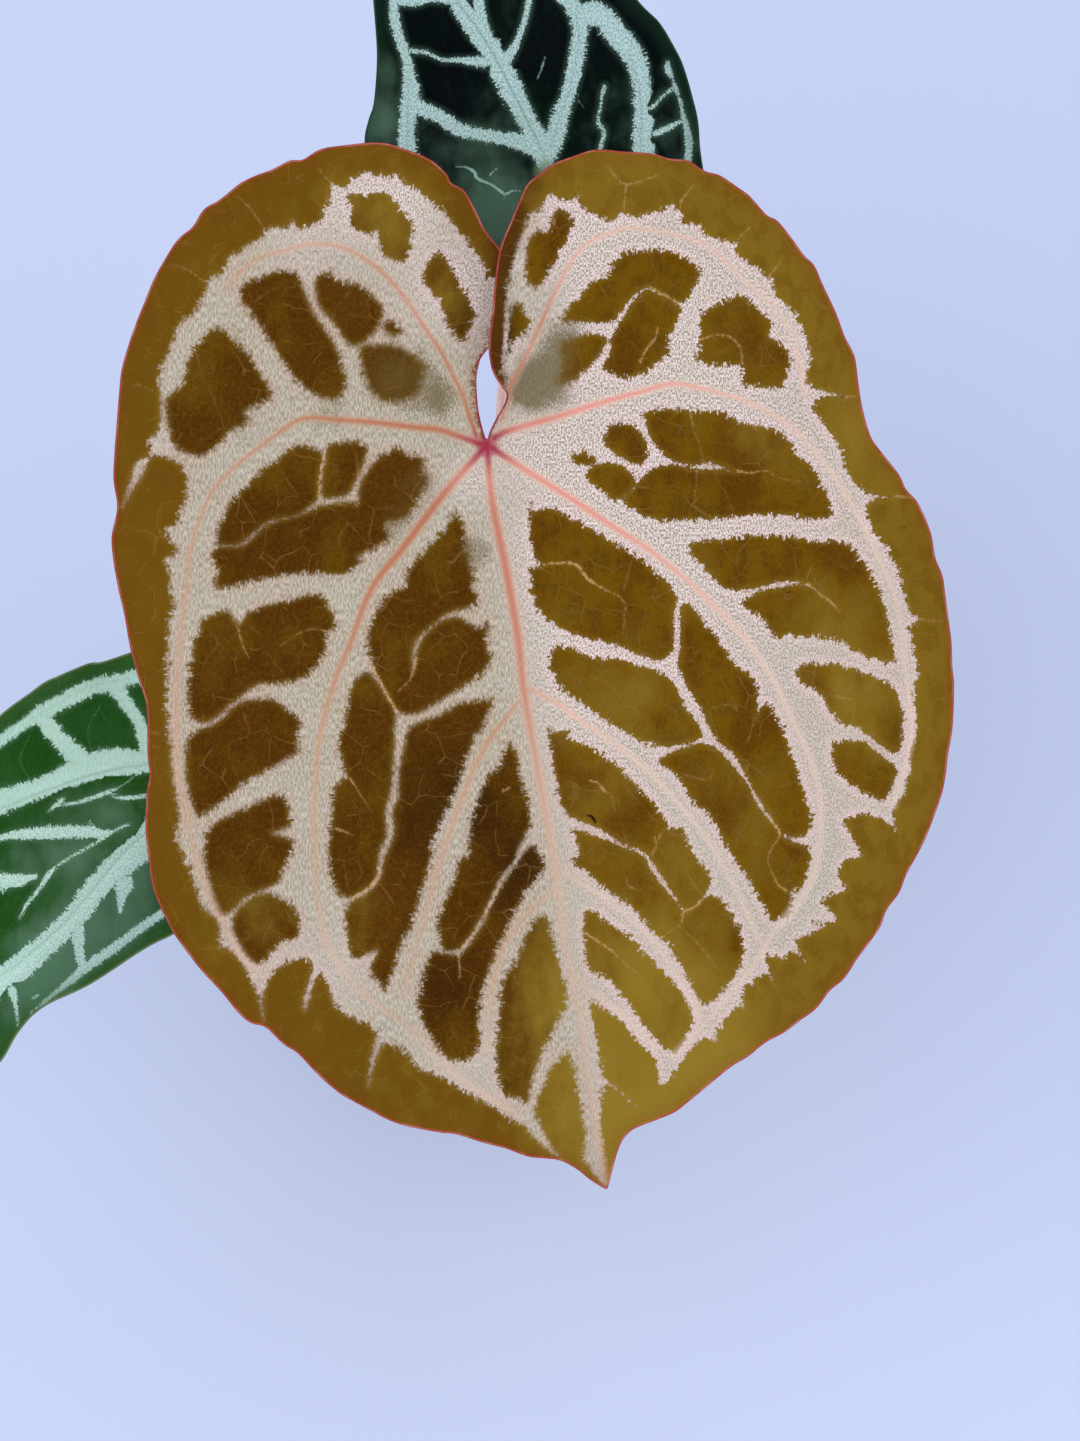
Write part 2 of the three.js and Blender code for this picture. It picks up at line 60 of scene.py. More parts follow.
# Pot, mix, crown and petioles, in mm, as in the solids
POT_HEIGHT = 115
POT_TOP_RADIUS = 65
POT_BASE_RADIUS = 47
POT_WALL = 2
POT_FLOOR = 2.5
RIM_HEIGHT = 14
RIM_LIP = 3
RIM_ROUND = 2.4
DRAIN_COUNT = 6
DRAIN_RADIUS = 4
DRAIN_CIRCLE = 31
MIX_TOP = 99
MIX_GAP = 0.3
CROWN_RADIUS = 13
CROWN_BOTTOM = 72
CROWN_TOP = 111
SCAR_COUNT = 4
ROOT_COUNT = 5
ROOT_RADIUS = 2.1
PETIOLE_BASE_RADIUS = 4.4
PETIOLE_RADIUS = 2.8
KNEE_RADIUS = 3.7
KNEE_LENGTH = 16
FLARE_ENDS = 55
BLADE_THICKNESS = 1.0

# How the blades lie: places and sizes in pixels, heights and depths in mm
YOUNG_MIDDLE = (520, 660)
YOUNG_HALF_SIZE = (425, 520)
YOUNG_ARCH = 8
YOUNG_WAVES = dict(middle=(520, 640), half_size=(420, 520), waves=11)
FUNNEL_MIDDLE = (487, 440)
FUNNEL_WIDTH = 95
FUNNEL_DEPTH = 4
CREASE_MIDDLE = (488, 911)
CREASE_HEADING = (0.7, -0.71)
CREASE_HALF_SIZE = (60, 30)
CREASE_DEPTH = 2.6
LOBES_MEET = (496, 257)
LOBES_CROSS_X = 500
LOBES_CROSS_WIDTH = 60
LOBES_CROSS_ROWS = (140, 200, 330, 400)
SLIDE_ROWS = (225, 255, 340, 362)
SLIDE_WIDTH = 40
SLIDE = 9
BACK_DEPTH = 55
BACK_FOOT_Y = 172
BACK_LENGTH = 360
BACK_MIDDLE = (515, 60)
BACK_HALF_SIZE = (175, 240)
BACK_ARCH = 5
BACK_WAVES = dict(middle=(515, 50), half_size=(180, 235), waves=9)
SIDE_DEPTH = 58
SIDE_FOOT = (255, 732)
SIDE_HEADING = (-0.72, 0.694)
SIDE_LENGTH = 480
SIDE_RIDGE_WIDTH = 34
SIDE_ARCH = 12
SIDE_WAVES = dict(middle=(100, 870), half_size=(190, 200), waves=8)

# Meshing of the blades, in pixels: how far apart points lie along lines and over the faces
OUTLINE_STEP = 3.2
EDGE_STEP = 1.2
LINE_STEP = 1.5
WIDEST_FRAY = 9
WIDE_BAND = 8
MAIN_VEIN = 0.7
MAIN_ROWS = (0, -2.5, 2.5)
NET_ROWS = (0, -1.7, 1.7)
RIB_ROWS = (0, -3, 3, -6, 6)

# Relief of the blades, in mm
PUFF = 0.5
HOLLOW = 0.33
PUFF_EDGE = (-1.2, 3.4)
GROOVE = 0.22
FINE_GROOVE = 0.08
MARGIN_ROLL = 0.16
RIM_THICKNESS = 0.55
INNER_THICKENING = 0.3
LIP_DEPTH = 0.36
RIB_HALF_WIDTH = 1.9
RIB_STEEPNESS = 1.35
# The lower face reads its noise this far from the upper face's, and no scar
UNDER_SHIFT = 50.0
NO_SCAR = 9.0

rng = np.random.default_rng(7)


def seen_at(pixels, depth):
    """The points, in mm, seen at these pixels and lying depth mm behind the young blade's plane"""
    size = PIXEL * (VIEW_DISTANCE + depth) / VIEW_DISTANCE
    across = (pixels[:, 0] - PICTURE_SIZE[0] / 2) * size
    up = (PICTURE_SIZE[1] / 2 - pixels[:, 1]) * size
    return (YOUNG_BLADE_MIDDLE + depth[:, None] * VIEW_ALONG
            + across[:, None] * np.array([1, 0, 0]) + up[:, None] * VIEW_UP)


def seen_pixels(points):
    """Where points, in mm, are seen, and how deep behind the young blade's plane they lie"""
    offset = points - YOUNG_BLADE_MIDDLE
    depth = offset @ VIEW_ALONG
    size = PIXEL * (VIEW_DISTANCE + depth) / VIEW_DISTANCE
    x = PICTURE_SIZE[0] / 2 + offset[:, 0] / size
    y = PICTURE_SIZE[1] / 2 - (offset @ VIEW_UP) / size
    return np.stack([x, y], 1), depth


def bell(value, width):
    return np.exp(-(value / width) ** 2)


def smooth_step(value, low, high):
    share = np.clip((value - low) / (high - low), 0, 1)
    return share * share * (3 - 2 * share)


def between(value, rising, risen, falling, fallen):
    """1 in a range, with soft ends"""
    return smooth_step(value, rising, risen) * (1 - smooth_step(value, falling, fallen))


def arch(x, y, middle, half_size, height):
    """How far a dished face lies below its middle"""
    across = (x - middle[0]) / half_size[0]
    along = (y - middle[1]) / half_size[1]
    return height * (across * across + along * along)


def margin_waves(x, y, middle, half_size, waves):
    """Waves round a margin, which fade towards the middle of the blade"""
    across = (x - middle[0]) / half_size[0]
    along = (y - middle[1]) / half_size[1]
    angle = np.arctan2(along, across)
    wave = np.sin(waves * angle + 0.6) + 0.45 * np.sin((2 * waves + 1) * angle + 1.9)
    return wave * smooth_step(np.hypot(across, along), 0.62, 1.05)


def turned(x, y, origin, heading):
    """How far along a heading from an origin the points lie, and how far to its side"""
    right = x - origin[0]
    down = y - origin[1]
    return heading[0] * right + heading[1] * down, heading[0] * down - heading[1] * right


def is_right_lobe(x, y):
    return x > LOBES_MEET[0] - 0.1 * (y - LOBES_MEET[1])


def young_depth(x, y):
    """Arched, with a funnel at the sinus, lobes that pass over each other and one crease"""
    from_funnel = np.hypot(x - FUNNEL_MIDDLE[0], y - FUNNEL_MIDDLE[1])
    crease_along, crease_offset = turned(x, y, CREASE_MIDDLE, CREASE_HEADING)
    crossing = bell(x - LOBES_CROSS_X, LOBES_CROSS_WIDTH) * between(y, *LOBES_CROSS_ROWS)
    return (arch(x, y, YOUNG_MIDDLE, YOUNG_HALF_SIZE, YOUNG_ARCH)
            + FUNNEL_DEPTH * bell(from_funnel, FUNNEL_WIDTH)
            + 2 * margin_waves(x, y, **YOUNG_WAVES)
            + CREASE_DEPTH * bell(crease_offset, CREASE_HALF_SIZE[1])
            * bell(crease_along, CREASE_HALF_SIZE[0])
            + np.where(is_right_lobe(x, y), -6, 4) * crossing)


def young_shift(x, y):
    """How far the left lobe is slid under the right one, in pixels"""
    lobe = np.where(is_right_lobe(x, y), 0, 1) * bell(x - LOBES_MEET[0], SLIDE_WIDTH)
    return SLIDE * lobe * between(y, *SLIDE_ROWS)


def back_depth(x, y):
    """Nearly level, behind the young blade, its tip pointing back"""
    above = np.maximum(0, (BACK_FOOT_Y - y) / BACK_LENGTH)
    slope = -0.125 * (y - BACK_FOOT_Y) + 22 * above * above
    leaning = x + 0.45 * (BACK_WAVES["middle"][1] - y)
    return (BACK_DEPTH + slope + arch(leaning, y, BACK_MIDDLE, BACK_HALF_SIZE, BACK_ARCH)
            + 1.4 * margin_waves(x, y, **BACK_WAVES))


def side_depth(x, y):
    """Lower, its midrib a ridge with the near half hanging steeply"""
    along_midrib, from_midrib = turned(x, y, SIDE_FOOT, SIDE_HEADING)
    ridge = (0.16 * (np.hypot(from_midrib, SIDE_RIDGE_WIDTH) - SIDE_RIDGE_WIDTH)
             - 0.06 * from_midrib)
    droop = SIDE_ARCH * (along_midrib / SIDE_LENGTH - 0.25) ** 2
    return SIDE_DEPTH + ridge + droop + 1.4 * margin_waves(x, y, **SIDE_WAVES)


def no_shift(x, y):
    return np.zeros_like(x)


# Young blade, in picture pixels. Outlines go round, and veins are (x, y, half width).
YOUNG_OUTLINE = [
    (487, 440), (491, 430), (497, 418), (505, 404), (507, 394), (503, 388), (495, 376), (491, 364),
    (489, 346), (491, 326), (493, 310), (495, 285), (497, 266), (501, 246), (510, 224), (520, 200),
    (528, 184), (540, 174), (554, 164), (572, 157), (590, 151), (604, 150), (620, 151.6),
    (652, 154), (670, 159), (688, 161), (704, 171), (720, 176), (738, 188), (750, 197), (766, 215),
    (778, 222), (794, 242), (804, 256), (814, 266), (822, 284), (836, 314), (844, 336), (854, 356),
    (858, 384), (862, 408), (870, 436), (880, 451), (898, 474), (906, 490), (918, 504), (930, 532),
    (935, 558), (942, 576), (945, 596), (949, 626), (951, 642), (952, 668), (953.6, 686),
    (952, 728), (948, 752), (945, 776), (940, 798), (926, 836), (916, 856), (906, 874), (899, 892),
    (886, 910), (879, 928), (858, 957), (844, 978), (830, 990), (816, 1008), (800, 1020),
    (784, 1032), (764, 1043), (748, 1056), (730, 1067), (702, 1090), (686, 1103), (672, 1113),
    (642, 1125), (630, 1131), (620, 1144), (613, 1166), (607, 1188.6), (604, 1188), (590, 1179),
    (576, 1168), (560, 1160), (546, 1158), (528, 1156), (506, 1148), (486, 1143), (457, 1134),
    (440, 1132), (408, 1126), (390, 1120), (376, 1113), (352, 1100), (340, 1093), (320, 1076),
    (298, 1053), (284, 1044), (266, 1027), (252, 1023), (240, 1014), (222, 992), (200, 968),
    (176, 936), (168, 922), (154, 890), (149, 860), (146, 830), (147, 794), (150, 774), (148, 754),
    (147, 708), (140, 682), (131, 650), (125, 616), (117, 580), (112, 540), (117.6, 508),
    (114, 480), (115, 452), (119, 400), (122, 370), (129, 345), (137, 322), (145, 302), (154, 280),
    (165, 260), (178, 240), (193, 227), (204, 210), (220, 200), (240, 184), (256, 176), (272, 170),
    (290, 161), (303, 160), (320, 150), (342, 146), (380, 143), (406, 150), (430, 160), (446, 174),
    (451, 183), (464, 191), (474, 208), (484, 230), (493, 256), (492, 285), (489, 310), (485, 338),
    (478, 366), (476, 382), (478, 410), (483, 432),
]
YOUNG_RING = [
    (490, 274), (482, 278), (472, 256), (456, 228), (440, 210), (416, 190), (404, 184), (396, 176),
    (380, 177), (368, 173), (352, 179), (345, 188), (332, 183), (330, 203), (322, 212), (322, 220),
    (310, 226), (300, 229), (292, 220), (288, 228), (270, 229), (260, 240), (250, 245), (236, 254),
    (227, 261), (226, 270), (210, 280), (208, 288), (200, 303), (190, 318), (180, 323), (172, 345),
    (163, 365), (160, 378), (160, 400), (159, 428), (149, 441), (150, 448), (148, 456), (136, 463),
    (128, 486), (122, 508), (132, 492), (143, 474), (150, 460), (158, 455), (176, 462), (186, 474),
    (187, 500), (180, 512), (178, 522), (166, 533), (178, 550), (165, 561), (170, 572), (172, 596),
    (175, 606), (170, 622), (168, 660), (167, 700), (171, 750), (174, 782), (180, 820),
    (177, 837), (186, 860), (198, 892), (202, 906), (218, 922), (221, 946), (230, 950), (248, 974),
    (258, 998), (264, 1024), (263, 998), (268, 982), (280, 966), (300, 959), (312, 964),
    (303, 1000), (306, 1010), (320, 974), (330, 990), (340, 1010), (360, 1020), (376, 1032),
    (370, 1060), (368, 1088), (376, 1060), (386, 1044), (406, 1050), (420, 1068), (440, 1076),
    (460, 1088), (486, 1102), (510, 1118), (524, 1126), (540, 1144), (560, 1159), (550, 1142),
    (536, 1118), (536, 1106), (546, 1080), (550, 1070), (568, 1052), (574, 1066), (580, 1100),
    (586, 1140), (584, 1158), (606, 1187), (603, 1160), (600, 1120), (602, 1090), (608, 1086),
    (620, 1094), (640, 1110), (632, 1100), (620, 1090), (608, 1080), (602, 1074), (596, 1040),
    (590, 1000), (604, 1008), (620, 1020), (642, 1046), (656, 1060), (660, 1088), (676, 1070),
    (690, 1052), (704, 1038), (720, 1045), (716, 1032), (730, 1014), (738, 1006), (746, 1011),
    (742, 994), (748, 984), (757, 991), (754, 980), (764, 974), (776, 983), (766, 962), (768, 955),
    (782, 958), (792, 952), (808, 966), (796, 944), (800, 938), (825, 926), (812, 922), (838, 922),
    (824, 904), (828, 895), (848, 890), (840, 880), (840, 866), (850, 858), (862, 856), (852, 838),
    (844, 822), (860, 814), (880, 818), (896, 834), (901, 850), (894, 816), (896, 802), (905, 794),
    (906, 782), (911, 770), (910, 756), (917, 730), (914, 690), (917, 670), (911, 640), (910, 626),
    (919, 619), (908, 608), (898, 572), (890, 558), (886, 546), (876, 536), (866, 510), (874, 500),
    (898, 496), (866, 492), (848, 474), (840, 450), (828, 430), (812, 406), (824, 398), (850, 397),
    (810, 386), (806, 374), (810, 354), (798, 320), (776, 294), (768, 278), (744, 260), (735, 252),
    (740, 239), (730, 242), (708, 236), (700, 226), (686, 223), (674, 205), (662, 211), (640, 216),
    (628, 216), (619, 211), (612, 222), (590, 212), (580, 204), (579, 182), (574, 198), (562, 199),
    (549, 195), (540, 210), (532, 214), (519, 240), (513, 262), (507, 290), (503, 330), (502, 356),
    (504, 378), (506, 400), (492, 426), (486, 448), (478, 428), (474, 400), (473, 372), (480, 352),
    (484, 320), (489, 296),
]
YOUNG_CELLS = [
    # Left lobe
    [(243, 285), (262, 276), (285, 270), (298, 275), (312, 310), (335, 345), (346, 375),
     (345, 390), (338, 400), (325, 400), (300, 385), (280, 358), (258, 325), (240, 298)],
    [(316, 280), (325, 271), (340, 280), (362, 285), (380, 303), (383, 315), (372, 335),
     (352, 346), (335, 325), (318, 303)],
    [(359, 350), (367, 345), (392, 345), (416, 355), (425, 368), (420, 390), (408, 400),
     (385, 402), (368, 388), (360, 362)],
    [(220, 328), (235, 340), (248, 353), (262, 375), (272, 393), (268, 402), (246, 411),
     (250, 422), (232, 432), (218, 446), (200, 457), (180, 450), (172, 442), (166, 405),
     (170, 395), (183, 383), (184, 372), (193, 350), (210, 330)],
    [(347, 196), (366, 194), (382, 193), (392, 198), (408, 218), (413, 228), (408, 256),
     (402, 262), (382, 254), (378, 230), (368, 234), (350, 226), (352, 210)],
    [(426, 264), (434, 254), (442, 254), (454, 278), (466, 304), (468, 320), (458, 342),
     (446, 326), (438, 302), (423, 282)],
    [(382, 326), (388, 321), (396, 322), (402, 332), (396, 336), (388, 334)],
    # Left of the midrib
    [(322, 452), (304, 445), (292, 446), (276, 460), (262, 469), (246, 486), (230, 502),
     (220, 524), (216, 534), (218, 545), (240, 544), (258, 529), (272, 520), (290, 518),
     (310, 507), (318, 497), (320, 476)],
    [(328, 446), (340, 441), (356, 441), (367, 447), (364, 462), (354, 484), (348, 494),
     (336, 497), (323, 497), (322, 478), (326, 458)],
    [(218, 547), (211, 558), (218, 570), (214, 580), (218, 590), (240, 585), (272, 578),
     (304, 574), (338, 576), (350, 572), (362, 562), (358, 556), (376, 549), (390, 538),
     (387, 524), (404, 521), (415, 509), (421, 496), (430, 479), (424, 470), (424, 458),
     (409, 454), (398, 448), (380, 456), (366, 474), (359, 490), (358, 504), (350, 502),
     (322, 506), (300, 515), (268, 524), (244, 545)],
    [(200, 630), (201, 620), (228, 610), (238, 624), (252, 610), (280, 602), (320, 594),
     (330, 609), (336, 624), (326, 640), (326, 652), (312, 672), (300, 680), (280, 684),
     (256, 686), (236, 700), (209, 721), (190, 716), (188, 680), (194, 642)],
    [(188, 738), (218, 722), (240, 703), (270, 699), (284, 706), (300, 720), (298, 740),
     (300, 750), (280, 764), (244, 784), (230, 796), (200, 816), (192, 804), (186, 774)],
    [(208, 830), (228, 816), (248, 806), (280, 794), (288, 806), (290, 826), (272, 833),
     (294, 842), (284, 868), (278, 883), (248, 896), (232, 910), (220, 912), (210, 886),
     (204, 856)],
    [(232, 924), (244, 904), (264, 894), (284, 900), (298, 912), (298, 936), (280, 944),
     (260, 964), (244, 952)],
    [(453, 514), (445, 528), (428, 546), (415, 560), (407, 572), (404, 586), (388, 594),
     (380, 604), (372, 620), (367, 638), (370, 658), (380, 682), (398, 711), (414, 714),
     (430, 707), (448, 696), (470, 683), (484, 673), (492, 658), (487, 646), (489, 624),
     (476, 626), (460, 618), (444, 620), (428, 632), (418, 648), (413, 672), (413, 652),
     (418, 638), (432, 626), (448, 613), (466, 609), (478, 603), (474, 586), (474, 574),
     (470, 552), (463, 522)],
    [(358, 676), (350, 690), (344, 724), (338, 744), (344, 774), (334, 788), (330, 826),
     (328, 866), (338, 894), (352, 897), (366, 889), (376, 878), (379, 852), (386, 836),
     (385, 812), (391, 788), (394, 748), (395, 712), (386, 696), (370, 674)],
    [(408, 730), (418, 723), (440, 715), (458, 704), (476, 700), (492, 700), (485, 724),
     (474, 740), (470, 752), (460, 780), (451, 802), (434, 838), (431, 860), (418, 906),
     (410, 932), (402, 944), (388, 988), (380, 986), (370, 970), (378, 950), (358, 958),
     (350, 954), (344, 916), (352, 902), (368, 893), (380, 878), (384, 860), (394, 834),
     (393, 812), (398, 798), (400, 770), (404, 748)],
    [(508, 744), (517, 752), (522, 780), (528, 798), (531, 816), (529, 830), (520, 844),
     (512, 862), (500, 878), (484, 912), (474, 930), (460, 948), (446, 950), (438, 936),
     (438, 918), (454, 878), (460, 858), (467, 854), (472, 816), (483, 786), (488, 774),
     (497, 768)],
    [(531, 846), (538, 850), (545, 866), (540, 876), (526, 892), (516, 912), (500, 946),
     (484, 986), (479, 1020), (480, 1044), (474, 1056), (458, 1062), (444, 1056), (434, 1044),
     (418, 1010), (420, 986), (430, 954), (442, 953), (458, 956), (470, 944), (484, 922),
     (496, 896), (516, 866), (524, 854)],
    [(546, 916), (532, 924), (514, 962), (502, 984), (498, 1024), (496, 1060), (502, 1092),
     (516, 1098), (527, 1102), (532, 1080), (542, 1054), (560, 1018), (567, 1006), (566, 986),
     (558, 960), (552, 930)],
    # Right of the midrib
    [(531, 503), (535, 512), (548, 507), (570, 517), (612, 541), (636, 556), (654, 570),
     (668, 583), (677, 598), (673, 614), (673, 640), (671, 652), (660, 660), (644, 656),
     (616, 645), (586, 638), (560, 628), (543, 616), (532, 597), (531, 580), (528, 570),
     (541, 566), (533, 554), (529, 530)],
    [(552, 650), (566, 647), (592, 657), (620, 660), (640, 667), (662, 673), (674, 686),
     (688, 712), (699, 727), (700, 737), (684, 743), (660, 746), (640, 741), (614, 726),
     (588, 708), (566, 693), (551, 672)],
    [(690, 604), (684, 605), (681, 616), (681, 650), (678, 666), (692, 694), (704, 714),
     (716, 738), (736, 756), (752, 786), (772, 818), (780, 830), (790, 836), (802, 836),
     (811, 828), (811, 816), (798, 772), (784, 732), (770, 706), (762, 706), (756, 719),
     (757, 688), (750, 674), (738, 666), (722, 646), (716, 634), (706, 626), (700, 615)],
    [(658, 761), (684, 749), (700, 744), (712, 747), (726, 759), (746, 784), (754, 802),
     (772, 824), (782, 836), (792, 842), (810, 848), (810, 860), (802, 888), (792, 892),
     (792, 906), (786, 917), (772, 919), (757, 896), (748, 880), (728, 850), (708, 814),
     (694, 804), (676, 776)],
    [(548, 727), (556, 732), (566, 731), (574, 741), (590, 746), (618, 766), (634, 782),
     (658, 808), (670, 826), (682, 829), (692, 850), (706, 868), (711, 878), (708, 888),
     (696, 904), (686, 910), (666, 880), (654, 862), (644, 851), (620, 841), (598, 827),
     (576, 819), (562, 808), (556, 780), (550, 750)],
    [(572, 830), (580, 831), (600, 839), (624, 848), (644, 858), (648, 867), (662, 887),
     (674, 900), (684, 912), (694, 908), (704, 898), (720, 898), (734, 918), (743, 940),
     (743, 956), (732, 980), (706, 1004), (686, 974), (668, 946), (652, 932), (634, 910),
     (606, 890), (588, 874), (572, 860), (579, 850)],
    [(584, 916), (596, 912), (610, 924), (632, 938), (656, 964), (678, 988), (692, 1014),
     (690, 1028), (678, 1050), (668, 1050), (646, 1028), (626, 1000), (606, 978), (590, 970),
     (584, 948)],
    # Right lobe
    [(554, 214), (560, 209), (572, 218), (572, 228), (556, 260), (538, 288), (526, 278),
     (528, 246), (536, 231), (548, 230)],
    [(512, 306), (520, 303), (524, 310), (530, 322), (526, 332), (514, 342), (508, 358),
     (510, 326)],
    [(560, 344), (574, 338), (590, 334), (606, 340), (590, 366), (570, 384), (554, 382),
     (560, 370)],
    [(562, 322), (566, 310), (582, 294), (594, 280), (608, 276), (612, 264), (626, 252),
     (656, 250), (674, 252), (696, 266), (700, 276), (682, 303), (650, 288), (632, 296),
     (618, 314), (608, 322), (584, 322)],
    [(640, 296), (650, 291), (680, 308), (678, 320), (670, 336), (668, 352), (660, 362),
     (632, 378), (606, 372), (604, 366), (612, 350), (612, 338), (630, 308)],
    [(700, 318), (706, 310), (734, 296), (746, 298), (768, 318), (772, 328), (770, 336),
     (789, 352), (789, 370), (778, 388), (752, 386), (742, 384), (741, 366), (720, 366),
     (698, 362), (696, 354), (700, 344)],
    [(612, 424), (630, 425), (639, 432), (646, 445), (647, 455), (642, 464), (634, 463),
     (622, 457), (612, 451), (603, 441)],
    [(644, 412), (670, 409), (684, 410), (712, 411), (724, 412), (734, 420), (766, 427),
     (780, 432), (792, 444), (800, 458), (812, 466), (825, 490), (832, 514), (810, 520),
     (794, 516), (760, 515), (720, 519), (700, 520), (666, 521), (646, 517), (624, 502),
     (634, 488), (640, 480), (658, 467), (680, 466), (698, 470), (720, 470), (738, 472),
     (722, 466), (708, 462), (694, 464), (674, 460), (658, 448), (646, 424)],
    [(586, 476), (596, 466), (610, 463), (626, 470), (634, 478), (633, 487), (624, 496),
     (614, 500), (600, 491)],
    [(570, 461), (577, 453), (594, 456), (596, 462), (582, 465)],
    [(688, 548), (700, 541), (730, 538), (750, 535), (786, 536), (820, 542), (832, 540),
     (852, 547), (870, 572), (884, 604), (895, 654), (893, 662), (880, 661), (858, 653),
     (838, 642), (788, 635), (776, 639), (762, 619), (742, 605), (756, 594), (786, 587),
     (812, 586), (786, 580), (752, 588), (724, 588), (698, 562)],
    [(802, 664), (828, 664), (844, 666), (890, 684), (900, 704), (903, 720), (898, 752),
     (884, 746), (856, 726), (844, 726), (830, 712), (820, 694), (798, 680)],
    [(832, 744), (840, 741), (862, 742), (880, 756), (892, 764), (897, 772), (888, 794),
     (880, 800), (856, 788), (836, 770)],
]
YOUNG_VEINS = [
    [(487, 444, 3), (492, 500, 3.8), (505, 564, 4.2), (518, 637, 4.2), (524, 691, 4),
     (537, 765, 3.4), (548, 825, 3), (556, 866, 2.4), (563, 930, 1.8), (574, 984, 1.4),
     (582, 1030, 1), (594, 1116, 0.7), (607, 1186, 0.7)],
    [(476, 436, 2), (468, 412, 1.8), (462, 394, 1.6), (444, 358, 1.6), (426, 330, 1.6),
     (408, 302, 1.5), (386, 276, 1.5), (364, 258, 1.5), (340, 247, 1.4), (315, 244, 1.2),
     (290, 249, 1), (255, 260, 0.8), (223, 290, 0.7)],
    [(480, 444, 3), (440, 430, 3.2), (420, 428, 3.2), (370, 422, 2.8), (340, 420, 2.4),
     (302, 419, 2), (272, 438, 1.4), (238, 464, 1.1), (210, 496, 1), (192, 544, 1),
     (186, 592, 1.2), (178, 670, 1.2), (177, 755, 1.2), (184, 803, 1), (202, 876, 0.9),
     (234, 943, 0.7), (259, 975, 0.6)],
    [(486, 446, 3.4), (443, 495, 3.8), (403, 548, 3.6), (372, 588, 3), (350, 644, 2.6),
     (335, 680, 2.3), (322, 726, 2), (316, 770, 1.6), (314, 820, 1.3), (316, 880, 1.1),
     (326, 940, 1.1), (360, 990, 0.9), (410, 1028, 0.8), (458, 1075, 0.7), (520, 1115, 0.6)],
    [(522, 698, 1.2), (492, 736, 1.8), (473, 771, 1.8), (457, 812, 1.8), (444, 850, 1.6),
     (428, 906, 1.1), (416, 950, 0.8), (402, 996, 0.6)],
    [(502, 420, 1), (510, 388, 1.4), (524, 360, 1.6), (540, 326, 1.6), (556, 290, 1.4),
     (582, 248, 1.2), (614, 232, 1), (640, 229, 1), (700, 243, 0.9), (745, 280, 0.9),
     (790, 330, 0.8), (805, 396, 0.7)],
    [(494, 438, 3), (511, 430, 3.4), (560, 416, 3.4), (600, 403, 3), (640, 392, 2.6),
     (670, 384, 2.3), (700, 388, 1.9), (740, 399, 1.4), (764, 410, 1.2), (794, 430, 1.1),
     (828, 468, 1.1), (860, 520, 1), (880, 562, 0.9), (896, 600, 0.9), (905, 670, 0.8),
     (910, 740, 0.7), (893, 806, 0.6)],
    [(492, 448, 3.4), (535, 476, 3.5), (581, 505, 3.3), (618, 530, 3), (652, 552, 2.6),
     (700, 592, 2.1), (740, 633, 1.7), (770, 674, 1.4), (792, 720, 1.2), (814, 770, 1),
     (821, 820, 1), (812, 880, 0.8), (775, 930, 0.7), (738, 985, 0.6), (672, 1058, 0.6)],
    [(526, 687, 1.4), (556, 703, 1.8), (587, 725, 1.8), (618, 746, 1.6), (648, 771, 1.5),
     (679, 805, 1.2), (706, 838, 0.9), (736, 890, 0.7), (760, 942, 0.6)],
    [(560, 870, 0.7), (609, 902, 0.6), (650, 938, 0.6), (678, 978, 0.6), (701, 1019, 0.5)],
    [(578, 980, 0.7), (622, 1014, 0.6), (655, 1047, 0.6)],
    [(556, 890, 0.8), (532, 908, 0.8), (508, 940, 0.7), (494, 980, 0.6), (486, 1052, 0.5)],
]
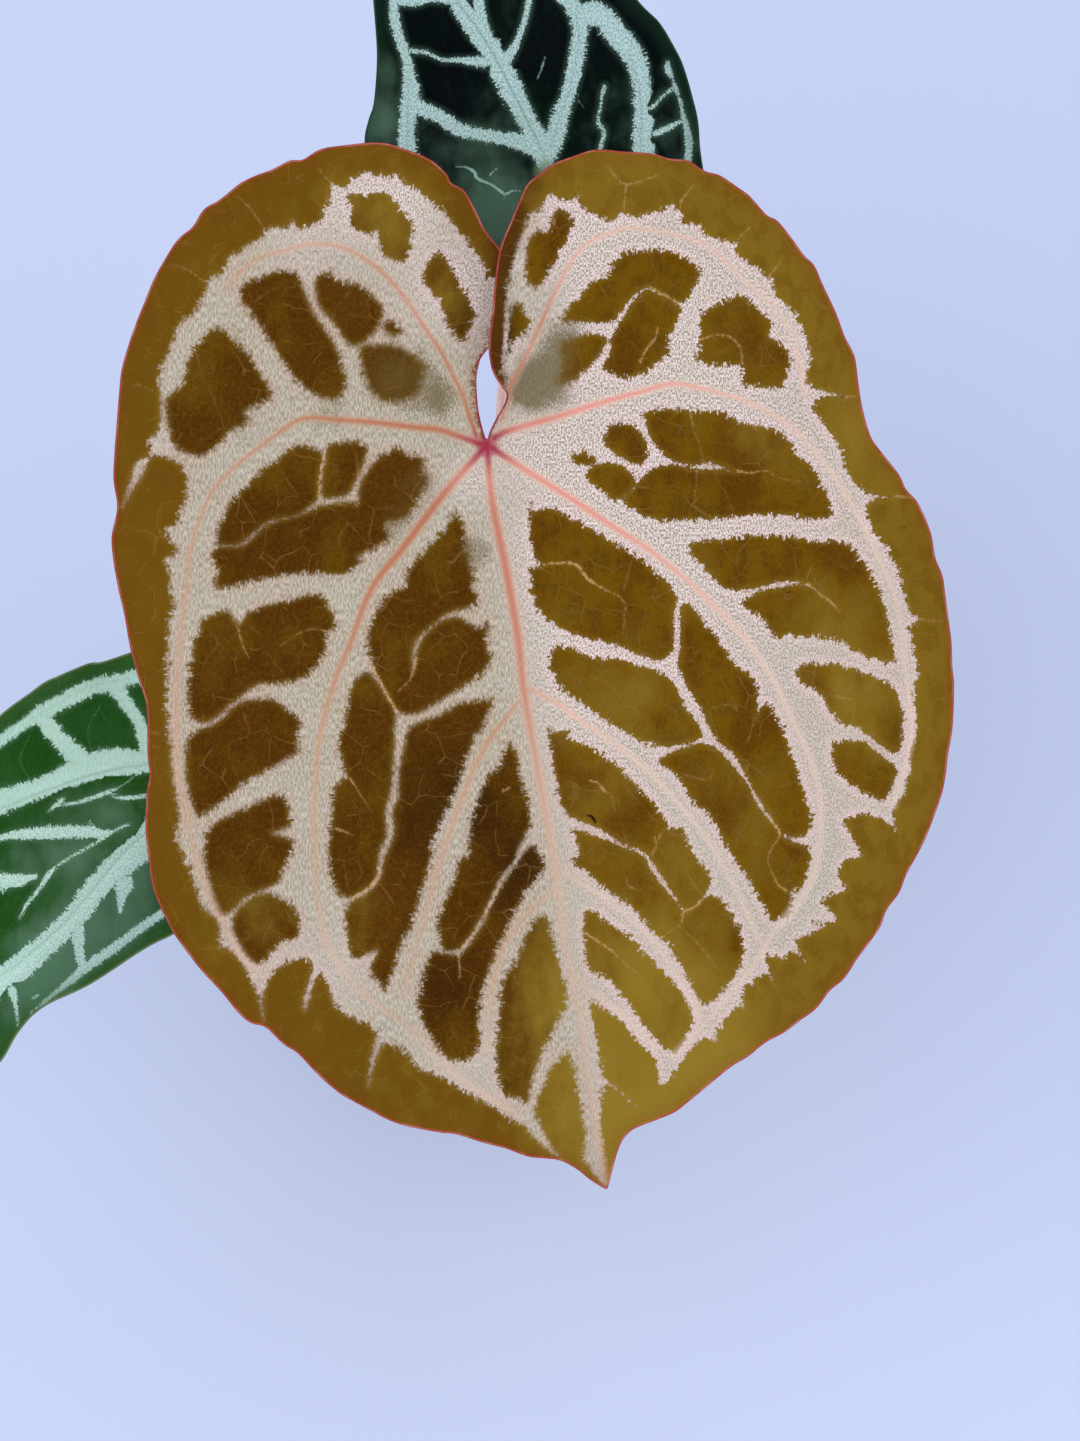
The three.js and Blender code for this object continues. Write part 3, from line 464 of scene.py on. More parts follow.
YOUNG_NET = [
    [(543, 565, 1.2), (560, 563, 1), (576, 565, 1.3), (584, 574, 1.4), (592, 582, 1.2),
     (606, 590, 0.6), (620, 597, 0.6), (625, 610, 0.5), (623, 634, 0.4)],
    [(632, 560, 0.4), (628, 574, 0.4), (624, 590, 0.4)],
    [(368, 658, 1.6), (376, 674, 1.2), (388, 696, 1.1), (397, 712, 1.2)],
    [(416, 658, 1.2), (412, 676, 0.7), (398, 692, 0.5)],
    [(236, 622, 0.6), (240, 636, 0.7), (244, 648, 0.6), (249, 658, 0.4)],
    [(330, 632, 0.8), (316, 629, 0.6), (304, 631, 0.5), (292, 638, 0.4), (280, 646, 0.4)],
    [(325, 446, 1), (323, 460, 1), (320, 478, 1), (319, 498, 1)],
    [(350, 778, 0.9), (364, 800, 0.5), (372, 812, 0.4)],
    [(336, 828, 0.8), (352, 835, 0.6)],
    [(380, 868, 1.6), (376, 880, 1.4), (366, 891, 1.5), (352, 899, 1.6)],
    [(500, 884, 1.2), (484, 916, 1), (474, 932, 0.9), (462, 948, 1), (459, 956, 0.8),
     (460, 980, 0.5)],
    [(502, 792, 0.8), (510, 787, 0.6)],
    [(650, 287, 1), (666, 296, 0.9), (681, 305, 1)],
    [(698, 340, 0.9), (712, 336, 0.8), (728, 336, 0.8), (740, 347, 0.7), (742, 364, 0.7)],
    [(640, 362, 0.9), (646, 350, 0.9), (655, 338, 0.8), (658, 328, 0.7)],
    [(690, 411, 0.8), (694, 430, 0.5), (700, 446, 0.4), (703, 462, 0.4)],
    [(738, 471, 0.9), (750, 473, 0.8), (766, 471, 0.6), (780, 478, 0.5), (800, 482, 0.4)],
    [(697, 470, 0.5), (696, 486, 0.4), (694, 500, 0.4)],
    [(808, 584, 1), (820, 594, 0.8), (832, 603, 0.9), (840, 612, 0.5)],
    [(812, 566, 0.5), (806, 580, 0.4)],
    [(830, 696, 0.6), (852, 700, 0.5), (854, 708, 0.4), (852, 722, 0.4)],
    [(655, 836, 0.7), (656, 848, 0.5), (650, 858, 0.6), (662, 832, 0.6), (671, 827, 0.8)],
    [(590, 781, 0.9), (598, 783, 1), (604, 790, 0.9), (612, 797, 0.5), (615, 810, 0.4)],
    [(684, 910, 1.2), (680, 924, 0.6), (670, 931, 0.5), (662, 938, 0.6)],
    [(680, 926, 0.4), (696, 942, 0.5), (710, 958, 0.4), (720, 972, 0.4)],
    [(684, 911, 1.2), (696, 906, 1), (705, 896, 1)],
    [(626, 878, 0.4), (630, 887, 0.6), (640, 890, 0.4)],
    [(686, 872, 0.4), (692, 882, 0.4), (700, 892, 0.4)],
    [(780, 836, 0.7), (772, 848, 0.6), (768, 858, 0.6), (770, 868, 0.5), (778, 884, 0.8),
     (787, 892, 0.9)],
    [(754, 719, 0.5), (751, 732, 0.4), (747, 742, 0.5)],
    [(768, 816, 1), (774, 824, 1.1), (780, 832, 1.2)],
    [(682, 774, 0.4), (696, 778, 0.5), (708, 780, 0.4), (714, 770, 0.4)],
    [(712, 708, 0.4), (730, 705, 0.4), (738, 712, 0.4), (727, 690, 0.3), (720, 676, 0.3)],
    [(590, 676, 0.3), (610, 684, 0.3), (622, 700, 0.3), (640, 712, 0.3)],
    [(584, 932, 1), (600, 943, 1), (612, 951, 0.8), (628, 966, 0.5), (636, 972, 0.5)],
    [(608, 168, 0.5), (626, 184, 0.7), (656, 176, 0.6)],
    [(626, 184, 0.7), (624, 208, 0.6)],
    [(694, 184, 0.5), (682, 200, 0.7), (680, 212, 0.6)],
    [(740, 236, 0.8), (750, 228, 0.5), (758, 224, 0.4)],
    [(768, 278, 0.8), (780, 262, 0.5)],
    [(848, 397, 1), (858, 396, 0.5)],
    [(897, 496, 0.9), (912, 498, 0.5)],
    [(919, 619, 0.6), (944, 622, 0.4)],
    [(332, 184, 0.6), (318, 168, 0.5)],
    [(262, 225, 0.5), (248, 206, 0.5), (236, 196, 0.4)],
    [(204, 282, 0.5), (188, 270, 0.5), (170, 264, 0.4)],
    [(136, 384, 0.5), (152, 390, 0.5)],
]
# Soft tones laid on the young blade: (x, y, radius, strength). The first table makes the cells
# lighter and darker, partly in the blade's own tone and partly as painted light and shade of its
# folds, its crease and the right lobe's bent-down inner edge.
YOUNG_TONE_AND_SHADE = [
    (640, 990, 110, 0.8), (620, 1140, 60, 1.2), (562, 1090, 60, 0.2), (720, 1060, 50, 0.8),
    (620, 700, 70, 0.42), (600, 800, 60, 0.3), (860, 690, 60, 0.7), (830, 600, 50, 0.3),
    (860, 430, 40, 0.5), (640, 180, 60, 0.3), (380, 215, 60, 0.5), (448, 290, 44, 0.5),
    (740, 820, 70, 0.3), (760, 445, 50, 0.6), (420, 1110, 60, 0.25), (215, 965, 30, 0.25),
    (265, 925, 40, 0.4), (370, 925, 36, 0.4), (700, 590, 30, 0.4), (530, 1010, 50, 0.5),
    (435, 800, 60, -1.0), (500, 820, 40, -0.5), (455, 990, 60, -0.8), (250, 800, 60, -0.3),
    (290, 540, 90, -0.3), (470, 560, 60, -0.2), (740, 495, 50, -0.3), (740, 340, 50, 0.3),
    (514, 212, 16, -1.2), (505, 240, 20, -1.3), (499, 268, 20, -1.3), (496, 296, 20, -1.3),
    (494, 324, 20, -1.3), (495, 352, 20, -1.3), (500, 378, 16, -1.3), (532, 182, 16, -0.6),
    (524, 870, 26, -1.1), (500, 905, 20, -0.8),
]
# Smoky tones: partly the blade's own, and partly painted shade on the silver of the right lobe's
# inner edge, where it bends down
YOUNG_SMOKE_AND_SHADE = [
    (545, 376, 30, 1.3), (525, 392, 20, 0.9), (562, 342, 22, 0.8), (395, 375, 36, 0.9),
    (440, 400, 26, 0.9), (325, 410, 24, 0.5), (420, 482, 24, 0.7), (476, 550, 22, 0.8),
    (350, 300, 36, 0.4), (245, 330, 30, 0.3), (395, 520, 22, 0.6), (507, 282, 12, 0.5),
    (516, 244, 14, 0.5), (532, 212, 16, 0.45),
    (508, 310, 12, 0.5), (250, 420, 30, 0.4), (478, 330, 14, 0.3), (300, 760, 20, 0.3),
    (480, 730, 24, 0.4), (405, 900, 20, 0.3), (500, 620, 22, 0.3), (390, 560, 20, 0.4),
]
# Painted sheen: spots where the silver and veins are painted brighter and pinker, as on the lit
# right half, or duller where it lies in shade
YOUNG_PAINTED_SHEEN = [
    (460, 290, 50, 1.0), (400, 200, 45, 0.9), (345, 195, 45, 0.7), (300, 240, 40, 0.4),
    (430, 380, 36, -0.3), (330, 970, 50, 0.6), (470, 1080, 60, 0.6), (250, 960, 40, 0.4),
    (535, 390, 34, -1.0), (522, 290, 36, -0.9), (545, 330, 30, -0.6), (528, 225, 22, -0.7),
    (590, 440, 40, 0.3), (150, 450, 20, 0.5),
    (520, 500, 22, -0.3), (470, 480, 24, 0.7),
]
YOUNG_SCAR = [[(587, 815, 0.8), (592, 817, 1.4), (596, 823, 0.9)]]
YOUNG_SINUS = (487, 444)

# Back blade: its silver lies along the veins, so its bands are veins with a half width
BACK_OUTLINE = [
    (546, 174), (557, 212), (575, 252), (605, 284), (645, 296), (680, 276), (700, 240),
    (706, 200), (700, 150), (698, 124), (694, 104), (684, 69), (676, 51), (660, 24), (644, 8),
    (626, -12), (600, -36), (560, -66), (515, -95), (465, -118), (415, -142), (372, -164),
    (332, -188), (344, -152), (354, -118), (363, -78), (370, -38), (374, 5), (377, 45), (377, 70),
    (374, 104), (369, 120), (365, 141), (368, 180), (382, 222), (408, 258), (445, 280),
    (485, 283), (514, 268), (532, 232),
]
BACK_BANDS = [
    [(547, 168, 7), (539, 144, 12), (528, 122, 9), (512, 91, 11), (496, 59, 13), (486, 42, 12),
     (472, 21, 11), (456, 0, 9), (430, -42, 7.5), (400, -85, 6), (372, -130, 4), (348, -168, 2)],
    [(486, 34, 5), (480, 12, 5), (479, -6, 5), (482, -40, 3), (486, -72, 3)],
    [(408, 175, 9), (407, 150, 9), (407, 130, 8), (408, 115, 8), (411, 95, 9), (409, 75, 5.5),
     (406, 55, 5), (400, 40, 4.5), (395, 22, 5), (393, 0, 4), (390, -20, 4.5), (386, -50, 4.5),
     (380, -85, 4), (372, -120, 3), (362, -148, 2)],
    [(408, 175, 9), (412, 205, 8), (427, 236, 7), (452, 255, 6), (484, 262, 5), (515, 250, 5),
     (538, 212, 5), (545, 180, 6)],
    [(542, 150, 9), (520, 142, 8), (500, 138, 6), (478, 134, 6), (458, 129, 6.5), (442, 118, 6.5),
     (427, 111, 7), (412, 106, 8)],
    [(486, 62, 6), (470, 61, 3.4), (456, 60, 2), (443, 60, 1.5), (432, 55, 1.2), (424, 52, 1.5),
     (410, 51, 2)],
    [(398, 2, 3), (415, 1, 5), (430, -1, 3), (452, -2, 6)],
    [(430, -42, 4), (412, -36, 2.5), (388, -40, 3)],
    [(544, 160, 9), (552, 146, 9), (556, 132, 9), (561, 114, 8), (567, 98, 7), (572, 80, 7),
     (576, 60, 7.5), (579, 40, 7), (580, 26, 8), (574, 8, 8), (562, -6, 7), (535, -36, 6),
     (500, -64, 5), (460, -88, 5), (420, -112, 4), (385, -138, 3)],
    [(580, 16, 8), (592, 14, 13), (604, 18, 11), (616, 34, 11), (628, 48, 11), (637, 64, 10),
     (641, 82, 9), (643, 100, 9), (644, 120, 10), (644, 140, 11), (643, 165, 10), (640, 195, 9),
     (628, 225, 8), (604, 238, 6), (580, 222, 5), (556, 184, 6)],
    [(504, 60, 8), (510, 54, 5), (516, 44, 3.2), (523, 26, 2.5), (527, 10, 2.5), (529, -5, 3),
     (524, -40, 4)],
    [(598, 168, 1.5), (600, 150, 1.6), (604, 132, 1.6), (598, 122, 1.3), (601, 105, 0.8),
     (602, 95, 1.3), (605, 86, 1.2)],
    [(668, 62, 1.5), (668, 69, 3), (673, 80, 1.2), (675, 87, 2), (680, 100, 1.2), (683, 115, 1.8),
     (687, 130, 3), (689, 145, 3.5), (688, 160, 3.5), (686, 190, 3), (676, 225, 2.5),
     (655, 250, 2)],
    [(675, 87, 1), (664, 95, 1), (656, 104, 1.2), (650, 109, 1.6)],
    [(681, 121, 1), (670, 127, 2.3), (655, 134, 3)],
]
BACK_NET = [
    [(456, 167, 0.6), (466, 167, 0.8), (474, 172, 1.4), (478, 179, 1.4), (490, 184, 1),
     (500, 191, 1.4), (506, 194, 1.6), (512, 191, 0.9), (520, 191, 0.8)],
    [(490, 175, 1), (496, 169, 0.7)],
    [(545, 57, 0.6), (541, 70, 0.7), (537, 80, 0.5)],
    [(505, 192, 0.8), (504, 200, 0.4)],
    [(578, 100, 0.5), (584, 108, 0.3)],
]
BACK_VEINS = [
    [(547, 164, 0.8), (539, 144, 0.8), (528, 122, 0.8), (512, 91, 0.8), (496, 59, 0.8),
     (486, 42, 0.8), (472, 21, 0.7), (456, 0, 0.7), (430, -42, 0.6), (400, -85, 0.6),
     (372, -130, 0.5), (336, -182, 0.5)],
    [(550, 150, 0.5), (561, 114, 0.5), (572, 80, 0.5), (579, 40, 0.5), (576, 10, 0.4)],
    [(640, 165, 0.5), (641, 100, 0.5), (628, 50, 0.4)],
    [(407, 160, 0.5), (408, 115, 0.5), (409, 75, 0.4)],
]
# Lighter and darker tones on the back blade: partly its own tone, partly painted light and shade
BACK_TONE_AND_SHADE = [
    (690, 120, 40, 0.3), (374, 120, 26, 1.1), (380, 70, 20, 0.6), (440, 150, 40, 0.35),
    (500, 180, 40, 0.35), (495, 222, 40, 1.2), (480, 100, 36, 0.2), (450, 50, 50, -0.4),
]
BACK_SINUS = (546, 172)

# Side blade
SIDE_OUTLINE = [
    (255, 732), (266, 700), (280, 668), (262, 638), (228, 626), (185, 634), (130, 653),
    (103, 662), (88, 664), (59, 676), (44, 683), (29, 694), (0, 716), (-28, 748), (-54, 790),
    (-72, 836), (-84, 885), (-93, 935), (-99, 985), (-106, 1030), (-116, 1064), (-84, 1070),
    (-50, 1078), (-22, 1074), (0, 1062), (19, 1031), (43, 1007), (90, 984), (144, 949),
    (175, 933), (208, 912), (245, 880), (278, 842), (304, 800), (318, 762), (306, 728),
    (282, 722),
]
SIDE_BANDS = [
    [(250, 726, 6), (244, 700, 6), (222, 682, 7), (180, 672, 7), (136, 677, 7), (113, 683, 8),
     (91, 687.5, 8), (60, 703, 7.5), (43, 712, 7.5), (20, 727, 5), (0, 741, 5.5), (-30, 766, 5),
     (-54, 806, 4.5), (-70, 852, 4), (-80, 905, 3.5), (-90, 955, 3), (-98, 1005, 2.5)],
    [(118, 690, 8), (128, 706, 6), (138, 720, 6), (143, 735, 6), (148, 752, 9)],
    [(44, 720, 8), (54, 733, 8), (66, 746, 9), (78, 758, 11)],
    [(250, 736, 7), (235, 740, 10), (205, 748, 11), (175, 756, 11), (147, 761, 12),
     (125, 762, 13), (103, 764, 14.5), (81, 770, 13.5), (59, 781, 11), (37, 789, 10),
     (15, 797, 11), (0, 802, 12), (-30, 818, 11), (-50, 862, 8), (-68, 915, 6), (-84, 965, 4)],
    [(56, 806, 0.9), (79, 802, 1.3), (103, 794, 1.9), (116, 789, 0.9)],
    [(112, 796, 0.8), (122, 798, 1.4), (146, 796, 1.6), (170, 790, 1.6)],
    [(64, 798, 1), (57, 804, 1.6), (49, 811, 0.8)],
    [(-20, 842, 2), (0, 838, 2.2), (14, 835, 4), (43, 833, 6), (69, 832, 6), (90, 832, 6.5),
     (103, 835, 4), (110, 831, 1.5)],
    [(129, 824, 0.8), (118, 829, 1), (99, 841, 1), (87, 848, 1), (69, 858, 0.9), (55, 868, 1),
     (47, 877, 2.6), (40, 888, 1.3), (28, 903, 1.4), (20, 918, 0.8)],
    [(-34, 884, 8), (0, 882, 8), (20, 880, 5.5), (36, 876, 1.6)],
    [(252, 734, 8), (232, 752, 12), (200, 785, 14), (165, 818, 15), (140, 846, 16),
     (125, 860, 14), (108, 878, 14), (92, 893, 12), (80, 911, 11.5), (67, 926, 12),
     (50, 941, 11), (33, 956, 12), (15, 972, 13), (-4, 986, 15), (-30, 1002, 11),
     (-62, 1024, 7), (-92, 1044, 3.5)],
    [(124, 884, 10), (121, 900, 4), (120, 912, 1.2)],
    [(78, 930, 7), (79, 950, 4.6), (82, 966, 4)],
    [(254, 742, 6), (250, 775, 7), (238, 815, 7), (215, 862, 6), (185, 896, 5), (161, 914, 4),
     (142, 927, 4.2), (121, 943, 4.4), (104, 955, 4.6), (87, 967, 4.5), (69, 982, 3),
     (55, 993, 2), (42, 1004, 1.3), (31, 1013, 0.8)],
    [(12, 990, 4), (15, 1002, 2), (17, 1014, 1.4), (18, 1026, 0.8)],
]
SIDE_NET = [
    [(33, 998, 1.4), (38, 995, 1.2)],
    [(134, 777, 0.6), (126, 783, 0.7), (115, 790, 0.6)],
    [(100, 706, 0.3), (88, 730, 0.3), (92, 752, 0.3)],
    [(30, 735, 0.3), (20, 760, 0.3), (30, 780, 0.3)],
    [(122, 905, 0.5), (116, 925, 0.3), (118, 940, 0.3)],
]
SIDE_VEINS = [
    [(250, 738, 0.7), (205, 745, 0.7), (147, 764, 0.8), (125, 767, 0.8), (103, 772, 0.8),
     (81, 778, 0.8), (59, 786, 0.7), (37, 794, 0.7), (15, 803, 0.6), (0, 809, 0.6),
     (-32, 826, 0.5), (-60, 890, 0.4)],
    [(248, 740, 0.9), (200, 785, 0.9), (165, 818, 0.9), (135, 842, 0.8), (121, 855, 0.8),
     (107, 872, 0.8), (94, 889, 0.8), (78, 907, 0.7), (66, 922, 0.7), (48, 938, 0.7),
     (31, 953, 0.6), (14, 967, 0.6), (0, 976, 0.6), (-62, 1020, 0.5), (-104, 1052, 0.4)],
    [(130, 678, 0.4), (91, 687, 0.4), (60, 702, 0.4), (20, 727, 0.3)],
]
# Lighter and darker tones on the side blade: partly its own tone, partly painted light and shade of
# its folds
SIDE_TONE_AND_SHADE = [
    (110, 810, 30, 0.7), (50, 845, 24, 0.3), (20, 870, 30, 0.5), (80, 860, 30, 0.6),
    (90, 930, 40, 0.9), (34, 945, 36, 0.9), (50, 985, 30, 1.0), (110, 725, 30, -0.3),
    (30, 755, 34, -0.5), (10, 905, 24, -0.6), (20, 1010, 30, 0.5), (140, 890, 40, 0.8),
    (60, 790, 34, 0.3),
]
SIDE_SINUS = (255, 736)


def curve_through(points, spacing, closed=False, axes=2):
    """Points about spacing apart, by their first axes, on a smooth curve through the given ones"""
    given = np.array(points, float)
    before = given[-1] if closed else 2 * given[0] - given[1]
    after = [given[0], given[1]] if closed else [2 * given[-1] - given[-2]]
    padded = np.vstack([before, given, after])
    stretches = []
    for a, b, c, d in zip(padded, padded[1:], padded[2:], padded[3:]):
        count = max(1, math.ceil(np.linalg.norm((c - b)[:axes]) / spacing))
        t = (np.arange(count) / count)[:, None]
        stretches.append(0.5 * (2 * b + (c - a) * t + (2 * a - 5 * b + 4 * c - d) * t ** 2
                                + (3 * b - a - 3 * c + d) * t ** 3))
    if not closed:
        stretches.append(given[-1:])
    return np.vstack(stretches)


def is_inside(points, outline):
    """True for each point inside the outline"""
    low = outline.min(0)
    high = outline.max(0)
    inside = np.zeros(len(points), bool)
    near = np.flatnonzero(((points > low) & (points < high)).all(1))
    x, y = points[near].T
    found = inside[near]
    for (ax, ay), (bx, by) in zip(outline, np.roll(outline, -1, 0)):
        if ay != by:
            found ^= ((ay > y) != (by > y)) & (x < ax + (y - ay) * (bx - ax) / (by - ay))
    inside[near] = found
    return inside


def square_to(steps):
    """Unit vectors square to these steps"""
    normal = np.stack([-steps[:, 1], steps[:, 0]], 1)
    return normal / np.maximum(np.linalg.norm(normal, axis=1), 1e-9)[:, None]


def point_tree(points):
    """A search tree over flat points"""
    tree = KDTree(len(points))
    for i, (x, y) in enumerate(points.tolist()):
        tree.insert((x, y, 0), i)
    tree.balance()
    return tree


class Lines:
    """Many short stretches of curves, and which of them is nearest to a point"""

    def __init__(self, curves, closed=False):
        starts = []
        ends = []
        lengths = []
        apart = 37.0
        for curve in curves:
            follow = np.roll(curve, -1, 0) if closed else curve[1:]
            start = curve if closed else curve[:-1]
            step = np.linalg.norm((follow - start)[:, :2], axis=1)
            starts.append(start)
            ends.append(follow)
            # Each curve's lengths start elsewhere, so that no two fray alike
            lengths.append(np.cumsum(step) - step + apart * len(lengths))
        self.start = np.vstack(starts)
        self.end = np.vstack(ends)
        self.length = np.concatenate(lengths)
        self.tree = point_tree((self.start + self.end)[:, :2] / 2)

    def nearest(self, points):
        """For each point: how far, which stretch, how far along it, and the length up to there"""
        find = self.tree.find
        stretch = np.array([find((x, y, 0))[1] for x, y in points.tolist()])
        start = self.start[stretch][:, :2]
        step = self.end[stretch][:, :2] - start
        offset = points - start
        size = np.maximum((step * step).sum(1), 1e-9)
        share = np.clip((offset * step).sum(1) / size, 0, 1)
        away = np.linalg.norm(offset - share[:, None] * step, axis=1)
        return away, stretch, share, self.length[stretch] + share * np.sqrt(size)

    def beyond_width(self, points):
        """How far each point lies outside the nearest line's half width, and that half width"""
        away, stretch, share, _ = self.nearest(points)
        half = self.start[stretch, 2] * (1 - share) + self.end[stretch, 2] * share
        return away - half, half


def edge_room(lines, is_silver):
    """For each stretch of a silver edge, the share of the widest fray that is free beside it"""
    middle = (lines.start + lines.end) / 2
    normal = square_to(lines.end - lines.start)
    room = np.zeros(len(middle))
    for reach in (WIDEST_FRAY, -WIDEST_FRAY):
        probe = middle + reach * normal
        free = is_silver(probe) & is_silver(middle + 0.4 * reach * normal)
        away = lines.nearest(probe)[0]
        room = np.maximum(room, np.where(free, np.clip(away / WIDEST_FRAY, 0, 1), 0))
    smoothing = 15
    return np.convolve(room, np.ones(smoothing) / smoothing, "same")


def cell_pattern(ring, cells):
    """A silver ground inside a ring, with dark cells in it"""
    ring_curve = curve_through(ring, EDGE_STEP, True)
    cell_curves = [curve_through(cell, EDGE_STEP, True) for cell in cells]
    lines = Lines([ring_curve] + cell_curves, True)

    def is_silver(points):
        silver = is_inside(points, ring_curve)
        for curve in cell_curves:
            silver &= ~is_inside(points, curve)
        return silver

    room = edge_room(lines, is_silver)

    def measure(points):
        away, stretch, _, length = lines.nearest(points)
        dark = np.where(is_silver(points), -away, away)
        outer = (~is_inside(points, ring_curve)).astype(float)
        return dark, length, room[stretch], outer

    return measure


def band_pattern(bands):
    """Silver bands along the veins, dark elsewhere"""
    lines = Lines([curve_through(band, LINE_STEP) for band in bands])

    def measure(points):
        _, stretch, _, length = lines.nearest(points)
        room = np.clip(lines.start[stretch, 2] / WIDE_BAND, 0, 1)
        return lines.beyond_width(points)[0], length, room, np.zeros(len(points))

    return measure


def flat_blade(outline, lattice_step, rows):
    """Points and triangles of a blade seen flat; its first points go round the outline"""
    low = outline.min(0)
    high = outline.max(0)
    columns = np.arange(low[0], high[0], lattice_step)
    lines = np.arange(low[1], high[1], lattice_step * math.sqrt(3) / 2)
    x, y = np.meshgrid(columns, lines)
    x = x + (np.arange(len(lines)) % 2)[:, None] * lattice_step / 2
    lattice = np.stack([x.ravel(), y.ravel()], 1)
    tree = point_tree(rows)
    clear_of_rows = 0.6 * lattice_step
    free = [tree.find((px, py, 0))[2] > clear_of_rows for px, py in lattice.tolist()]
    lattice = np.vstack([lattice[free], rows])
    lattice = lattice[is_inside(lattice, outline)]
    clear_of_outline = 0.55 * lattice_step
    lattice = lattice[Lines([outline], True).nearest(lattice)[0] > clear_of_outline]
    points = np.vstack([outline, lattice])
    count = len(outline)
    rim = [(i, (i + 1) % count) for i in range(count)]
    made = delaunay_2d_cdt([Vector(p) for p in points.tolist()], rim, [], 0, 1e-6, False)
    flat = np.array([tuple(p) for p in made[0]])
    triangles = np.array(made[2])
    return flat, triangles[is_inside(flat[triangles].mean(1), outline)]


def rows_beside(veins, offsets, step):
    """Points in rows along veins, so that thin lines, grooves and ribs have their own edges"""
    rows = []
    for vein in veins:
        curve = curve_through(vein, step)[:, :2]
        normal = square_to(np.gradient(curve, axis=0))
        rows += [curve + offset * normal for offset in offsets]
    return np.vstack(rows)


def thinned(points, apart):
    """The points with those left out that lie too near an earlier one"""
    tree = point_tree(points)
    dropped = np.zeros(len(points), bool)
    for i, (x, y) in enumerate(points):
        if not dropped[i]:
            for _, j, _ in tree.find_range((x, y, 0), apart):
                if j > i:
                    dropped[j] = True
    return points[~dropped]


def add_mesh(name, vertices, faces, materials, face_material=None):
    """A smooth piece from points in mm; faces may be an array of triangles or a list"""
    mesh = bpy.data.meshes.new(name)
    mesh.from_pydata((np.asarray(vertices) * MM).tolist(), [],
                     faces.tolist() if isinstance(faces, np.ndarray) else faces)
    for material in materials:
        mesh.materials.append(material)
    if face_material is not None:
        mesh.polygons.foreach_set("material_index", np.asarray(face_material, np.int32))
    mesh.polygons.foreach_set("use_smooth", np.ones(len(mesh.polygons), bool))
    mesh.validate()
    mesh.update()
    piece = bpy.data.objects.new(name, mesh)
    bpy.context.scene.collection.objects.link(piece)
    return piece


def set_values(piece, values):
    """Writes numbers or vectors for each point of a mesh under their names"""
    for name, value in values.items():
        value = np.asarray(value, np.float32)
        kind, field = ("FLOAT", "value") if value.ndim == 1 else ("FLOAT_VECTOR", "vector")
        layer = piece.data.attributes.new(name, kind, "POINT")
        layer.data.foreach_set(field, value.ravel())


def toned(points, tones):
    """The sum of soft round tones at each point"""
    total = np.zeros(len(points))
    for x, y, radius, strength in tones:
        total += strength * bell(np.hypot(points[:, 0] - x, points[:, 1] - y), radius)
    return total


